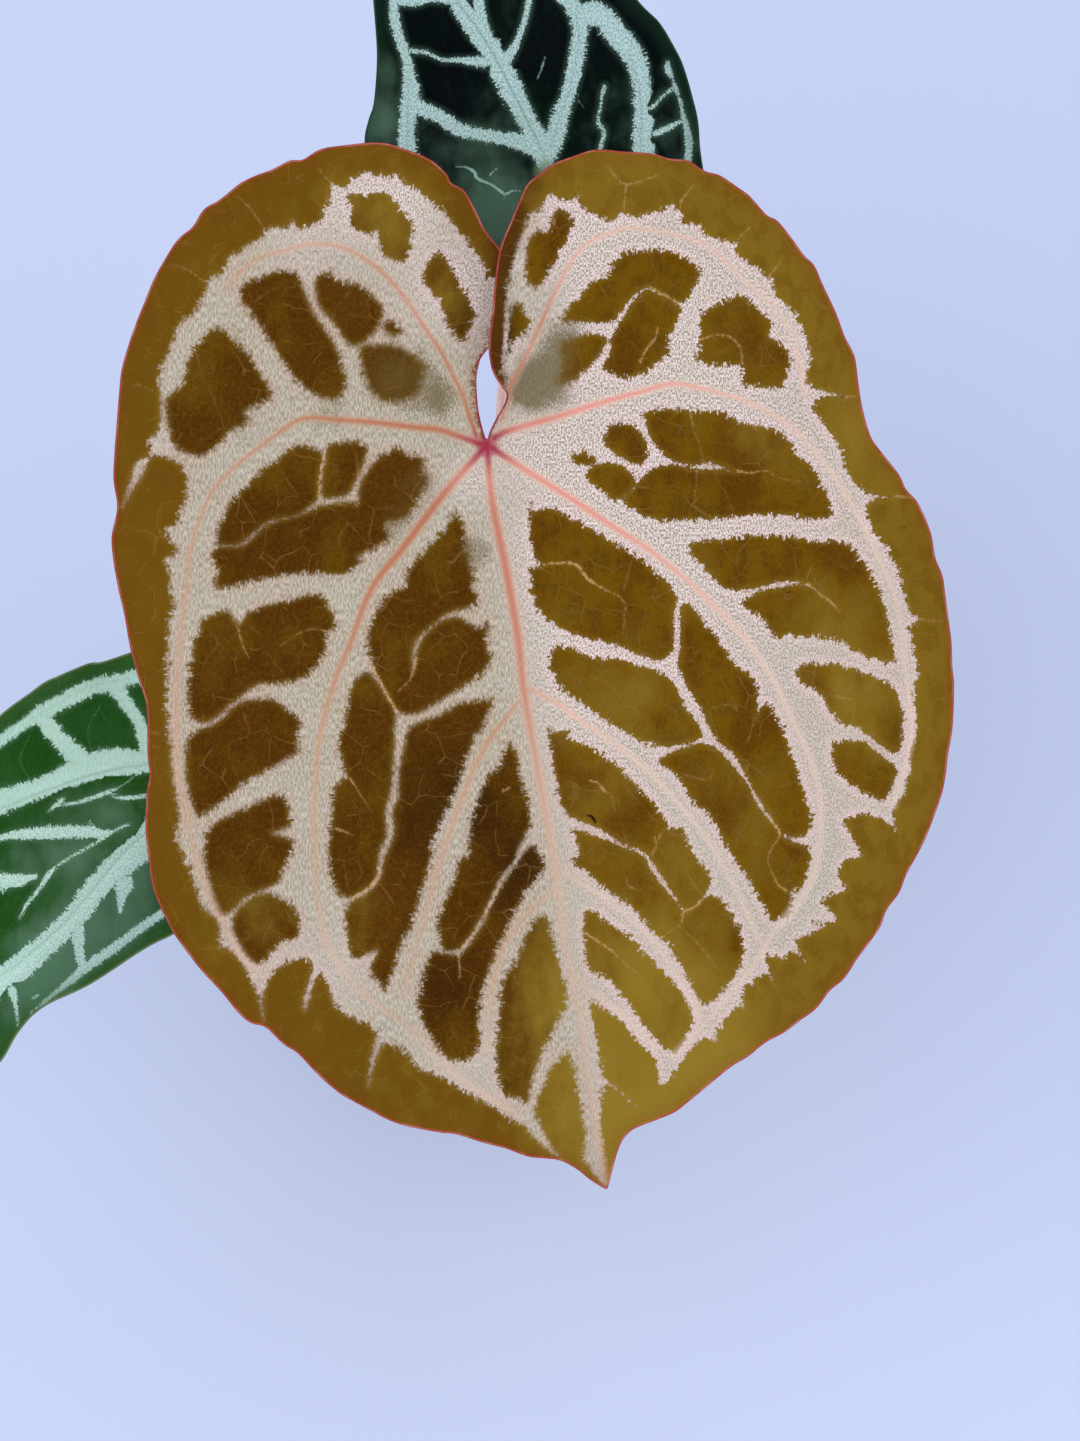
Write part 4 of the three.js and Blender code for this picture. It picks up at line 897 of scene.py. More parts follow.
class Blade:
    """What one blade is drawn from"""

    def __init__(self, outline, depth, pattern, veins, net, sinus, lift,
                 smoke=(), gloss=(), scars=(), lobe_shift=no_shift):
        self.outline = curve_through(outline, OUTLINE_STEP, True)
        self.depth = depth
        self.pattern = pattern
        self.veins = veins
        self.vein_lines = Lines([curve_through(vein, LINE_STEP) for vein in veins])
        self.net = net
        self.net_lines = Lines([curve_through(vein, LINE_STEP) for vein in net])
        self.scar_lines = Lines([curve_through(scar, 1) for scar in scars]) if scars else None
        self.border = Lines([self.outline], True)
        self.sinus = np.array(sinus)
        self.lift = lift
        self.smoke = smoke
        self.gloss = gloss
        self.lobe_shift = lobe_shift

    def right_of_midrib(self, points):
        """0 left of the midrib and 1 right of it"""
        midrib = np.array(self.veins[0])
        offset = points[:, 0] - np.interp(points[:, 1], midrib[:, 1], midrib[:, 0])
        return smooth_step(offset, -30, 50)

    def values(self, flat, under=0.0):
        """What the finish reads at each point; under, in mm, keeps the lower face's noise apart"""
        dark, length, room, outer = self.pattern(flat)
        net, net_half = self.net_lines.beyond_width(flat)
        right = self.right_of_midrib(flat)
        scar_mm = np.full(len(flat), NO_SCAR)
        if self.scar_lines:
            scar_mm = self.scar_lines.beyond_width(flat)[0] * PIXEL + under
        return {
            "dark_mm": dark * PIXEL,
            "along_mm": length * PIXEL,
            "room": room,
            "outer": outer,
            "vein_mm": self.vein_lines.beyond_width(flat)[0] * PIXEL,
            "net_mm": net * PIXEL,
            "net_half_mm": net_half * PIXEL,
            "margin_mm": self.border.nearest(flat)[0] * PIXEL,
            "from_sinus_mm": np.linalg.norm(flat - self.sinus, axis=1) * PIXEL,
            "scar_mm": scar_mm,
            "right": right,
            "lift": toned(flat, self.lift),
            "smoke": toned(flat, self.smoke),
            # Painted sheen: the right half's share plus its spots, where silver and veins are
            # painted as lit
            "gloss": np.clip(right + toned(flat, self.gloss), 0, 1),
            "flat_mm": np.column_stack([flat * PIXEL, np.full(len(flat), under)]),
        }

    def place(self, flat, depth):
        """Pixels and depths to points in mm, with one lobe slid under the other"""
        x, y = flat.T
        return seen_at(flat + np.stack([self.lobe_shift(x, y), np.zeros_like(x)], 1), depth)

    def upper(self, flat, values):
        """The upper face: cells puffed between sunken veins, its margin rolled over"""
        puff = PUFF * smooth_step(values["dark_mm"], *PUFF_EDGE)
        groove = GROOVE * (1 - smooth_step(values["vein_mm"], -0.3, 1.1))
        fine = FINE_GROOVE * (1 - smooth_step(values["net_mm"], -0.2, 0.7))
        roll = MARGIN_ROLL * (1 - smooth_step(values["margin_mm"], 0, 0.9))
        return self.place(flat, self.depth(*flat.T) - puff + groove + fine + roll)

    def lower(self, flat, values):
        """The lower face: hollow under the cells, its ribs thick near the sinus, thin at the ends"""
        hollow = HOLLOW * smooth_step(values["dark_mm"], *PUFF_EDGE)
        half_width = RIB_HALF_WIDTH - smooth_step(values["from_sinus_mm"], 10, 170)
        off_rib = np.maximum(values["vein_mm"] + 1.0, 0) / half_width
        rib = RIB_STEEPNESS * half_width * np.sqrt(np.clip(1 - off_rib ** 2, 0, 1))
        fade = smooth_step(values["margin_mm"], 0.4, 5)
        thickness = RIM_THICKNESS + (INNER_THICKENING + rib) * fade - hollow
        return self.place(flat, self.depth(*flat.T) + thickness)


def make_blade(name, blade, top_step, under_step, materials):
    """One closed blade: a fine upper face, a ribbed lower face and a rounded margin"""
    main = [vein for vein in blade.veins if vein[0][2] >= MAIN_VEIN]
    top_rows = np.vstack([rows_beside(main, MAIN_ROWS, 2.6),
                          rows_beside(blade.net, NET_ROWS, 2)])
    under_rows = rows_beside(main, RIB_ROWS, under_step)
    flat, top_faces = flat_blade(blade.outline, top_step, thinned(top_rows, 1.3))
    under_flat, under_faces = flat_blade(blade.outline, under_step, thinned(under_rows, 2.4))
    rim = blade.outline
    values = [blade.values(flat), blade.values(under_flat, UNDER_SHIFT), blade.values(rim)]
    area = np.sum(rim[:, 0] * np.roll(rim[:, 1], -1) - np.roll(rim[:, 0], -1) * rim[:, 1])
    outward = -square_to(np.roll(rim, -1, 0) - np.roll(rim, 1, 0)) * np.sign(area)
    lip = blade.place(rim + 0.5 * outward, blade.depth(*rim.T) + LIP_DEPTH)
    vertices = np.vstack([blade.upper(flat, values[0]), blade.lower(under_flat, values[1]), lip])
    under_start = len(flat)
    lip_start = under_start + len(under_flat)
    ring = np.arange(len(rim))
    ahead = np.roll(ring, -1)
    if area < 0:
        ring, ahead = ahead, ring
    band = []
    for low, high in ((0, lip_start), (lip_start, under_start)):
        band.append(np.stack([low + ring, high + ring, high + ahead], 1))
        band.append(np.stack([low + ring, high + ahead, low + ahead], 1))
    band = np.vstack(band)
    faces = np.vstack([facing(top_faces, flat, True),
                       facing(under_faces, under_flat, False) + under_start, band])
    is_under = np.repeat([0, 1, 0], [len(top_faces), len(under_faces), len(band)])
    piece = add_mesh(name, vertices, faces, materials, is_under)
    set_values(piece, {key: np.concatenate([part[key] for part in values]) for key in values[0]})
    return piece


def facing(triangles, flat, towards_view):
    """Turns triangles so that they face the view, or away from it"""
    a, b, c = (flat[triangles[:, i]] for i in range(3))
    turn = (b[:, 0] - a[:, 0]) * (c[:, 1] - a[:, 1]) - (b[:, 1] - a[:, 1]) * (c[:, 0] - a[:, 0])
    flip = (turn > 0) == towards_view
    faced = triangles.copy()
    faced[flip] = faced[flip][:, [0, 2, 1]]
    return faced


# Finishes
def linear(code):
    """An sRGB hex colour as linear numbers"""
    parts = [int(code[i:i + 2], 16) / 255 for i in (1, 3, 5)]
    return tuple(c / 12.92 if c <= 0.04045 else ((c + 0.055) / 1.055) ** 2.4 for c in parts) + (1,)


class Finish:
    """A material, and short ways to build its node tree"""

    def __init__(self, name):
        self.material = bpy.data.materials.new(name)
        self.material.use_nodes = True
        self.tree = self.material.node_tree
        shader = next(made for made in self.tree.nodes if made.type == "BSDF_PRINCIPLED")
        self.inputs = shader.inputs

    def feed(self, socket, value):
        """Links a node's output to a socket, or sets a number or a hex colour on it"""
        if isinstance(value, bpy.types.NodeSocket):
            self.tree.links.new(value, socket)
        else:
            socket.default_value = linear(value) if isinstance(value, str) else value

    def add(self, kind, inputs, output=0, **settings):
        """Adds a node with its settings and links, and gives one of its outputs"""
        made = self.tree.nodes.new("ShaderNode" + kind)
        for name, value in settings.items():
            setattr(made, name, value)
        for key, value in inputs.items():
            self.feed(made.inputs[key], value)
        return made.outputs[output]

    def wear(self, values):
        """Sets inputs of the shader by their names"""
        for name, value in values.items():
            self.feed(self.inputs[name], value)
        return self.material

    def coat(self, colour, rough, relief, strength, depth_mm):
        """Gives the finish its colour and roughness, and a fine relief"""
        bump = self.add("Bump", {"Strength": strength, "Distance": depth_mm * MM,
                                 "Height": relief})
        return self.wear({"Base Color": colour, "Roughness": rough, "Normal": bump})

    def painted(self, colour, layers):
        """Lays colours over each other; each layer is how much of it shows, and its colour"""
        for factor, over in layers:
            colour = self.add("Mix", {0: factor, 6: colour, 7: over}, 2, data_type="RGBA")
        return colour

    def mixed(self, share, a, b):
        """A number between a and b"""
        return self.add("Mix", {0: share, 2: a, 3: b}, data_type="FLOAT")

    def ramp(self, value, low, high, most=1.0):
        """0 at low, most at high and smooth between"""
        return self.add("MapRange", {"Value": value, "From Min": low, "From Max": high,
                                     "To Max": most}, interpolation_type="SMOOTHSTEP")

    def times(self, a, b):
        return self.add("Math", {0: a, 1: b}, operation="MULTIPLY")

    def plus(self, a, b, scale=1.0):
        """a times scale, plus b"""
        return self.add("Math", {0: a, 1: scale, 2: b}, operation="MULTIPLY_ADD")

    def swing(self, cloudy, reach, around=0.0):
        """Swings round a value with a cloudy noise"""
        return self.plus(self.plus(cloudy, -0.5), around, reach)

    def read(self, name, output=2):
        """A number that the mesh holds at each point; output 1 gives a place"""
        return self.add("Attribute", {}, output, attribute_name=name)

    def place_mm(self):
        """Where each point of the piece lies, in mm"""
        return self.add("VectorMath", {0: self.add("TexCoord", {}, 3), 3: 1 / MM},
                        operation="SCALE")

    def grain(self, place, per_mm, detail=2.0):
        """Cloudy noise with features 1 / per_mm apart, in mm; per_mm may differ by direction"""
        scaled = self.add("VectorMath", {0: place, 1: per_mm}, operation="MULTIPLY")
        return self.add("TexNoise", {"Vector": scaled, "Scale": 1.0, "Detail": detail})

    def web(self, place, scale):
        """How far each place lies from the lines of a web"""
        return self.add("TexVoronoi", {"Vector": place, "Scale": scale},
                        feature="DISTANCE_TO_EDGE")


def leaf_finish(name):
    """A finish with what the blade's mesh says at each point, and the noises its layers share"""
    f = Finish(name)
    f.flat = f.read("flat_mm", 1)
    for value in ("dark_mm", "along_mm", "outer", "vein_mm", "net_mm", "net_half_mm", "margin_mm",
                  "from_sinus_mm", "scar_mm", "right", "lift", "smoke", "gloss"):
        setattr(f, value, f.read(value))
    f.room = f.plus(f.read("room"), 0.12, 0.88)
    f.clouds = f.grain(f.flat, (0.07, 0.05, 1.0))
    f.patches = f.grain(f.flat, (0.25, 0.16, 1.0))
    f.clumps = f.grain(f.flat, (1.1, 0.8, 1.0))
    f.velvet = f.grain(f.flat, (3.4, 1.6, 1.0))
    f.speckle = f.grain(f.flat, (3.0, 2.4, 1.0), 1.0)
    f.mottle = f.swing(f.patches, 0.8, f.plus(f.clouds, -0.5))
    return f


def cell_share(f, look):
    """1 in the cells and 0 in the silver, with a frayed edge between them"""
    across_edge = f.add("CombineXYZ", {0: f.along_mm, 1: f.dark_mm, 2: 0.0})
    # Silver fibres 0.4 mm apart that run out over the cells, slower swings, and single cells
    fibres = f.grain(across_edge, (2.4, 0.5, 1.0), 1.0)
    swings = f.grain(across_edge, (0.5, 0.16, 1.0))
    swinging = f.swing(swings, look["swing_mm"], f.swing(f.clumps, look["clump_mm"]))
    fray = f.swing(fibres, f.ramp(f.patches, 0.3, 0.62, look["fibre_mm"]), swinging)
    # Thin silver lines shrink and swell into beads
    beading = f.times(f.plus(f.clumps, -0.3, 1.3),
                      f.plus(f.room, look["beading"], -look["beading"]))
    specks = f.swing(f.speckle, f.plus(f.room, 1.2, 0.4), beading)
    frayed = f.plus(fray, f.plus(specks, f.dark_mm), f.room)
    soft = f.plus(f.gloss, f.plus(f.smoke, 0.2 + look["soft_mm"], 0.9), -look["soft_mm"])
    return f.ramp(f.add("Math", {0: frayed, 1: soft}, operation="DIVIDE"), -1.0, 1.0)


def silver_colour(f, look):
    """Silver: pale at its frayed edge and duller towards the vein, with a painted glitter of light
    and dark glints 0.4 mm across, brighter and pinker on the painted sheen
    """
    streaks = f.ramp(f.grain(f.flat, (2.6, 0.8, 1.0)), 0.36, 0.66)
    sparks = f.ramp(f.grain(f.flat, (2.8, 1.7, 1.0), 0.5), 0.36, 0.64)
    glitter = f.mixed(f.gloss, streaks, sparks)
    strong = f.plus(f.ramp(f.from_sinus_mm, 110, 50, f.gloss), 0.5, 0.5)
    # Smoky tone over the silver: partly its own, partly painted shade
    smoked_and_shaded = f.swing(f.velvet, 1.4, f.plus(f.mottle, f.smoke))
    return f.painted(look["silver_edge"], [
        (f.gloss, look["silver_right"]),
        (f.ramp(f.dark_mm, -0.6, -3.2, look["silver_dulls"]), look["silver_inner"]),
        (f.ramp(f.dark_mm, -0.6, -3.2, f.times(f.gloss, 0.6)), look["silver_inner_right"]),
        (f.ramp(f.clouds, 0.42, 0.66, 0.35), look["silver_cloud"]),
        (f.ramp(f.room, 0.5, 0.12, 0.5), look["silver_thin"]),
        # Painted glints: the glitter grains darken and lighten the silver, as fine streaks on the
        # left and sparks on the right, strongest on the painted sheen; partly the silver's own grain
        (f.times(f.plus(glitter, 1.0, -1.0), f.times(strong, look["glitter_dark"])),
         look["glitter_low"]),
        (f.times(glitter, f.times(strong, look["glitter_light"])), look["glitter_high"]),
        (f.ramp(smoked_and_shaded, 0.25, 1.0, 0.8), look["smoke"]),
    ])


def cell_colour(f, look):
    """Cells: bronze or green, clouded, with a fine velvet grain"""
    # Painted light and shade: the blade's lighter and darker tones, with the mottle, make the cells
    # paler and darker, partly in their own tone and partly as light and shade of folds and creases
    lift = f.plus(f.mottle, f.lift, 0.9)
    zone = f.painted(look["margin_zone"], [(f.right, look["margin_right"])])
    return f.painted(look["cell"], [
        (f.right, look["cell_right"]),
        (f.ramp(f.from_sinus_mm, *look["far_mm"]), look["cell_far"]),
        (f.ramp(f.clouds, 0.44, 0.66, look["cloudy"]), look["cell_cloud"]),
        (f.ramp(f.patches, 0.42, 0.68, 0.55), look["cell_deep"]),
        (f.ramp(f.clouds, 0.52, 0.34, 0.7), look["cell_red"]),
        (f.ramp(f.clumps, 0.46, 0.7, 0.3), look["cell_cloud"]),
        (f.ramp(f.clumps, 0.46, 0.3, 0.3), look["sunk"]),
        (f.times(f.outer, 0.85), zone),
        (f.ramp(f.patches, 0.42, 0.62, f.times(f.outer, 0.6)), look["cell_cloud"]),
        # Paler near the silver, and paler or darker with the tones: partly the cells' own tone,
        # partly painted light and painted shade
        (f.ramp(f.dark_mm, 1.6, 0.2, 0.2), look["pale_and_lit"]),
        (f.ramp(lift, 0.0, 1.1, 0.85), look["pale_and_lit"]),
        (f.ramp(lift, 0.0, -1.1, 0.85), look["sunk"]),
        # Smoky tone over the cells: partly their own, partly painted shade
        (f.ramp(f.smoke, 0.2, 1.1, 0.4), look["smoke"]),
        (f.ramp(f.velvet, 0.5, 0.78, 0.25), look["velvet_high"]),
        (f.ramp(f.velvet, 0.5, 0.24, 0.25), look["velvet_low"]),
    ])


def net_over(f, look, cell):
    """The beaded net of small veins over the cells, and a faint web between them"""
    bent = f.times(f.clouds, 9.0)
    bend = f.add("CombineXYZ", {0: bent, 1: bent})
    bent_place = f.add("VectorMath", {0: f.flat, 1: bend}, operation="ADD")
    web_shows = f.ramp(f.patches, 0.4, 0.62, look["web"])
    beads = f.swing(f.clumps, 1.4, f.plus(f.speckle, -0.5))
    net_mm = f.plus(beads, f.net_mm, look["beads_mm"])
    net_shows = f.ramp(f.net_half_mm, 0.0, 0.32, look["net"])
    return f.painted(cell, [
        (f.ramp(f.web(bent_place, 0.11), 0.02, 0.0, web_shows), look["net_faint"]),
        (f.ramp(f.web(bent_place, 0.36), 0.035, 0.0, f.times(web_shows, 0.3)), look["net_faint"]),
        (f.ramp(net_mm, 0.6, 0.0, f.times(net_shows, 0.3)), look["net_faint"]),
        (f.ramp(net_mm, 0.12, -0.1, net_shows), look["net_line"]),
    ])


def veins_over(f, look, colour):
    """The main veins with their halo: warmest at the sinus, paler far from it"""
    # Painted sheen: the veins are painted pinker and lighter on the lit side, browner on the other
    near = f.painted(look["vein_left"], [(f.gloss, look["vein"])])
    far = f.painted(look["vein_far_left"], [(f.gloss, look["vein_far"])])
    vein = f.painted(far, [
        (f.ramp(f.from_sinus_mm, 105, 30), near),
        (f.ramp(f.vein_mm, -0.35, -0.9, 0.22), look["sinus"]),
        (f.ramp(f.from_sinus_mm, 10, 1), look["sinus"]),
    ])
    shows = f.plus(f.ramp(f.from_sinus_mm, 130, 60, look["vein_shows"]), 0.4)
    edge = f.swing(f.speckle, 0.4, f.vein_mm)
    return f.painted(colour, [
        (f.ramp(f.vein_mm, 1.6, 0.0, look["halo"]), far),
        (f.ramp(edge, 0.5, -0.6, shows), vein),
        (f.ramp(f.from_sinus_mm, 4, 0.5, 0.8), look["sinus"]),
    ])


def margin_over(f, look, colour):
    """The thin coloured margin, the warm zone inside it, and old scars"""
    margin = f.painted(look["margin"], [
        (f.ramp(f.from_sinus_mm, 34, 12), look["sinus"]),
        (f.ramp(f.patches, 0.45, 0.65, 0.5), look["margin_pale"]),
    ])
    edge = f.swing(f.speckle, 0.3, f.margin_mm)
    return f.painted(colour, [
        (f.ramp(f.margin_mm, 5.0, 0.4, look["margin_halo"]), look["margin_warm"]),
        (f.ramp(edge, 0.5, 0.12), margin),
        (f.ramp(f.scar_mm, 0.25, -0.1), "#2A1408"),
    ])


def leaf_top(name, look):
    """Velvet anthurium leaf: matt cells of raised cell tips between silver bands that glitter"""
    f = leaf_finish(name)
    dark = cell_share(f, look)
    cell = net_over(f, look, cell_colour(f, look))
    colour = f.painted(silver_colour(f, look), [(dark, cell)])
    colour = margin_over(f, look, veins_over(f, look, colour))
    rough = f.mixed(dark, look["silver_rough"], look["cell_rough"])
    relief = f.plus(f.speckle, f.velvet, 0.6)
    f.wear({"Specular IOR Level": look["shine"], "Sheen Weight": look["sheen"],
            "Sheen Roughness": 0.25, "Sheen Tint": look["sheen_tint"]})
    return f.coat(colour, rough, relief, look["bump"], 0.12)


def leaf_under(name, look):
    """Leaf underside: paler and smoother than the top, its pattern showing through faintly"""
    f = Finish(name)
    flat = f.read("flat_mm", 1)
    clouds = f.grain(flat, (0.1, 0.1, 1.0), 3.0)
    pores = f.grain(flat, (2.4, 2.4, 1.0))
    colour = f.painted(look["under"], [
        (f.ramp(clouds, 0.4, 0.7, 0.5), look["under_cloud"]),
        (f.ramp(f.read("dark_mm"), -0.4, 0.8, 0.45), look["under_cell"]),
        (f.ramp(f.web(flat, 0.14), 0.04, 0.0, 0.3), look["under_vein"]),
        (f.ramp(pores, 0.5, 0.8, 0.2), look["under_cloud"]),
        (f.ramp(f.read("vein_mm"), 1.5, -0.2), look["under_vein"]),
        (f.ramp(f.read("from_sinus_mm"), 14, 2), look["petiole_top"]),
        (f.ramp(f.read("margin_mm"), 0.7, 0.2), look["margin"]),
    ])
    return f.coat(colour, 0.5, pores, 0.25, 0.1)


YOUNG_LOOK = {
    "fibre_mm": 3.6, "swing_mm": 2.6, "clump_mm": 3.0, "soft_mm": 0.6, "beads_mm": 1.0,
    "beading": 1.0, "far_mm": (500, 600),
    "silver_edge": "#AB997D", "silver_right": "#D0B8B0", "silver_inner": "#A09D84",
    "silver_inner_right": "#BBAE9E", "silver_cloud": "#AEB098", "silver_dulls": 0.8,
    "silver_thin": "#B08F6C", "glitter_dark": 0.52, "glitter_low": "#84726C", "glitter_light": 0.75,
    "glitter_high": "#F4E4E0", "smoke": "#665A34",
    "cell": "#4E2C02", "cell_right": "#6E4C04", "cell_cloud": "#6A4C08", "cloudy": 0.5,
    "cell_red": "#573204", "cell_deep": "#432402", "cell_far": "#4E2C02", "margin_zone": "#6E4E0E",
    "margin_right": "#80651C", "pale_and_lit": "#937928", "sunk": "#331A03",
    "velvet_high": "#8A6612", "velvet_low": "#3A2202",
    "web": 0.42, "net": 0.75, "net_faint": "#8E6A34", "net_line": "#BF9560",
    "halo": 0.35, "vein": "#E79C8C", "vein_left": "#B67452", "vein_far": "#E2C8B6",
    "vein_far_left": "#C59C80",
    "sinus": "#A02048", "vein_shows": 0.5, "margin_halo": 0.2, "margin_warm": "#7A3C12",
    "margin": "#BE5044", "margin_pale": "#E08C7C",
    "silver_rough": 0.45, "cell_rough": 0.7, "shine": 0.03, "sheen": 0.015,
    "sheen_tint": "#D8C08A", "bump": 0.5,
    "under": "#B79A8E", "under_cloud": "#A9A487", "under_cell": "#8E6A55",
    "under_vein": "#C27E74", "petiole_top": "#B4585A",
}
BACK_LOOK = dict(YOUNG_LOOK, **{
    "fibre_mm": 3.4, "swing_mm": 1.6, "clump_mm": 1.4, "soft_mm": 0.1, "beads_mm": 0.5,
    "beading": -0.2, "far_mm": (14, 46),
    "silver_edge": "#A0BEB7", "silver_right": "#A0BEBB", "silver_inner": "#ADCDCB",
    "silver_inner_right": "#ADCDCB", "silver_cloud": "#92BAA8", "silver_dulls": 0.5,
    "silver_thin": "#A8D0BC", "glitter_dark": 0.4, "glitter_low": "#5E8478", "glitter_light": 0.45,
    "glitter_high": "#D6EAE6", "smoke": "#5E8478",
    "cell": "#061410", "cell_right": "#030C0A", "cell_cloud": "#05170D", "cloudy": 0.5,
    "cell_red": "#060A12", "cell_deep": "#02050A", "cell_far": "#02060A", "margin_zone": "#06180C",
    "margin_right": "#06180C", "pale_and_lit": "#54735F", "sunk": "#010203",
    "velvet_high": "#0C1E16", "velvet_low": "#010203",
    "web": 0.15, "net_faint": "#1C3A2A", "net_line": "#A0C8B8", "halo": 0.0,
    "vein": "#4E7068", "vein_left": "#4E7068", "vein_far": "#4E7068",
    "vein_far_left": "#4E7068", "sinus": "#8FA886",
    "vein_shows": 0.3, "margin_halo": 0.5, "margin_warm": "#16301F", "margin": "#2A4634",
    "margin_pale": "#3C5C48", "cell_rough": 0.6, "shine": 0.02, "sheen": 0.0,
    "under": "#7F9A78", "under_cloud": "#93A888",
    "under_cell": "#5C7A58", "under_vein": "#A8BC98", "petiole_top": "#B08870",
})
SIDE_LOOK = dict(BACK_LOOK, **{
    "fibre_mm": 3.0, "swing_mm": 1.8, "clump_mm": 1.6, "far_mm": (500, 600),
    "silver_edge": "#B3D7C3", "silver_right": "#B3D7C7", "silver_inner": "#C1E3D5",
    "silver_inner_right": "#C1E3D5", "silver_cloud": "#A6CDB8",
    "silver_thin": "#BEE0C6", "glitter_low": "#7FA690",
    "glitter_high": "#DDF0E6",
    "cell": "#1E4814", "cell_right": "#1E4814", "cell_cloud": "#2C5C2A",
    "cell_red": "#1C4C0E", "cell_deep": "#164008",
    "cell_far": "#1E4814", "margin_zone": "#2A4F1C", "margin_right": "#2A4F1C",
    "pale_and_lit": "#5A7E62", "sunk": "#174408", "velvet_high": "#3E7030", "velvet_low": "#0E3004",
    "web": 0.2, "net_faint": "#4E7E48", "vein": "#7FA694", "vein_left": "#7FA694",
    "vein_far": "#7FA694", "vein_far_left": "#7FA694", "margin_warm": "#3A6130", "margin": "#6E8458",
    "margin_pale": "#93A37C", "cell_rough": 0.5, "shine": 0.03,
    "petiole_top": "#7F9A58",
})


def in_place_of(piece, node):
    """Lets a piece ride on the root in place of a solid"""
    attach(piece, "root")
    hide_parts(node)


def make_leaves():
    """The three blades, each in place of its solid"""
    young = Blade(YOUNG_OUTLINE, young_depth, cell_pattern(YOUNG_RING, YOUNG_CELLS), YOUNG_VEINS,
                  YOUNG_NET, YOUNG_SINUS, YOUNG_TONE_AND_SHADE, YOUNG_SMOKE_AND_SHADE, YOUNG_PAINTED_SHEEN, YOUNG_SCAR,
                  young_shift)
    back = Blade(BACK_OUTLINE, back_depth, band_pattern(BACK_BANDS), BACK_VEINS, BACK_NET,
                 BACK_SINUS, BACK_TONE_AND_SHADE)
    side = Blade(SIDE_OUTLINE, side_depth, band_pattern(SIDE_BANDS), SIDE_VEINS, SIDE_NET,
                 SIDE_SINUS, SIDE_TONE_AND_SHADE)
    coarser = 1.0
    for name, blade, top_step, under_step, look, slot in (
            ("young", young, 3.5, 5.8, YOUNG_LOOK, "leaf_bronze"),
            ("back", back, 3.2, 5, BACK_LOOK, "leaf_dark_green"),
            ("side", side, 3.2, 5, SIDE_LOOK, "leaf_mid_green")):
        materials = [leaf_top(f"{name}_leaf_velvet", look), leaf_under(f"{name}_leaf_back", look)]
        piece = make_blade(f"leaf_{name}", blade, top_step * coarser, under_step * coarser,
                           materials)
        in_place_of(piece, f"blade_{name}")


PETIOLE_PATHS = {
    "young": [(1, -7, 99), (-1, -14, 160), (-2, -24, 235), (-1, -37, 296)],
    "back": [(5, 5, 99), (3, 13, 150), (4.5, 33, 218), (9, 50, 280)],
    "side": [(-7, 2.5, 99), (-20, -10, 140), (-38, -38, 194), (-54, -62, 223)],
}
PETIOLE_ENDS = {"young": (487, 452), "back": (545, 160), "side": (246, 740)}
PETIOLE_SIDES = 36
PETIOLE_STEP = 1.6
UNDER_BLADE = 0.62


def circle(sides):
    return 2 * np.pi * np.arange(sides) / sides


def stem(path, radius_at, sides, first=0):
    """Rings of points round a path, closed at both ends; radius_at gives a ring's radii"""
    heading = np.gradient(path, axis=0)
    heading /= np.linalg.norm(heading, axis=1)[:, None]
    step = np.linalg.norm(np.diff(path, axis=0), axis=1)
    length = np.concatenate([[0], np.cumsum(step)])
    angle = circle(sides)
    normal = np.cross(heading[0], (0.3, 1, 0.1))
    rings = []
    for centre, ahead, at in zip(path, heading, length):
        normal = normal - (normal @ ahead) * ahead
        normal /= np.linalg.norm(normal)
        other = np.cross(ahead, normal)
        radius = radius_at(at, length[-1], angle)
        rings.append(centre + (radius * np.cos(angle))[:, None] * normal
                     + (radius * np.sin(angle))[:, None] * other)
    count = len(path)
    vertices = np.vstack(rings + [path[:1], path[-1:]])
    faces = []
    for i in range(count - 1):
        for k in range(sides):
            a = first + i * sides + k
            b = first + i * sides + (k + 1) % sides
            faces.append((a, b, b + sides, a + sides))
    for k in range(sides):
        ahead = (k + 1) % sides
        last = first + (count - 1) * sides
        faces.append((first + ahead, first + k, first + count * sides))
        faces.append((last + k, last + ahead, first + count * sides + 1))
    along = np.concatenate([np.repeat(length, sides), [0, length[-1]]])
    round_it = np.concatenate([np.tile(angle, count), [0, 0]])
    return vertices, faces, along, round_it


def petiole_radius(at, total, angle):
    """Wide at the sheathing base, thick again at the knee under the blade, with shallow grooves"""
    base = (PETIOLE_BASE_RADIUS - PETIOLE_RADIUS) * (1 - smooth_step(at, 8, FLARE_ENDS))
    to_knee = smooth_step(total - at, 0.6 * KNEE_LENGTH, 1.3 * KNEE_LENGTH)
    knee = (KNEE_RADIUS - PETIOLE_RADIUS) * (1 - to_knee)
    grooves = 0.09 * np.sin(6 * angle + 0.4) + 0.05 * np.sin(11 * angle)
    wrinkles = 0.05 * (1 - to_knee) * np.sin(2.4 * at + 0.8 * np.sin(2 * angle))
    front = -0.45 * bell(angle - math.pi, 0.4) * smooth_step(at, 4, 14)
    return PETIOLE_RADIUS + base + knee + wrinkles + to_knee * (grooves + front)


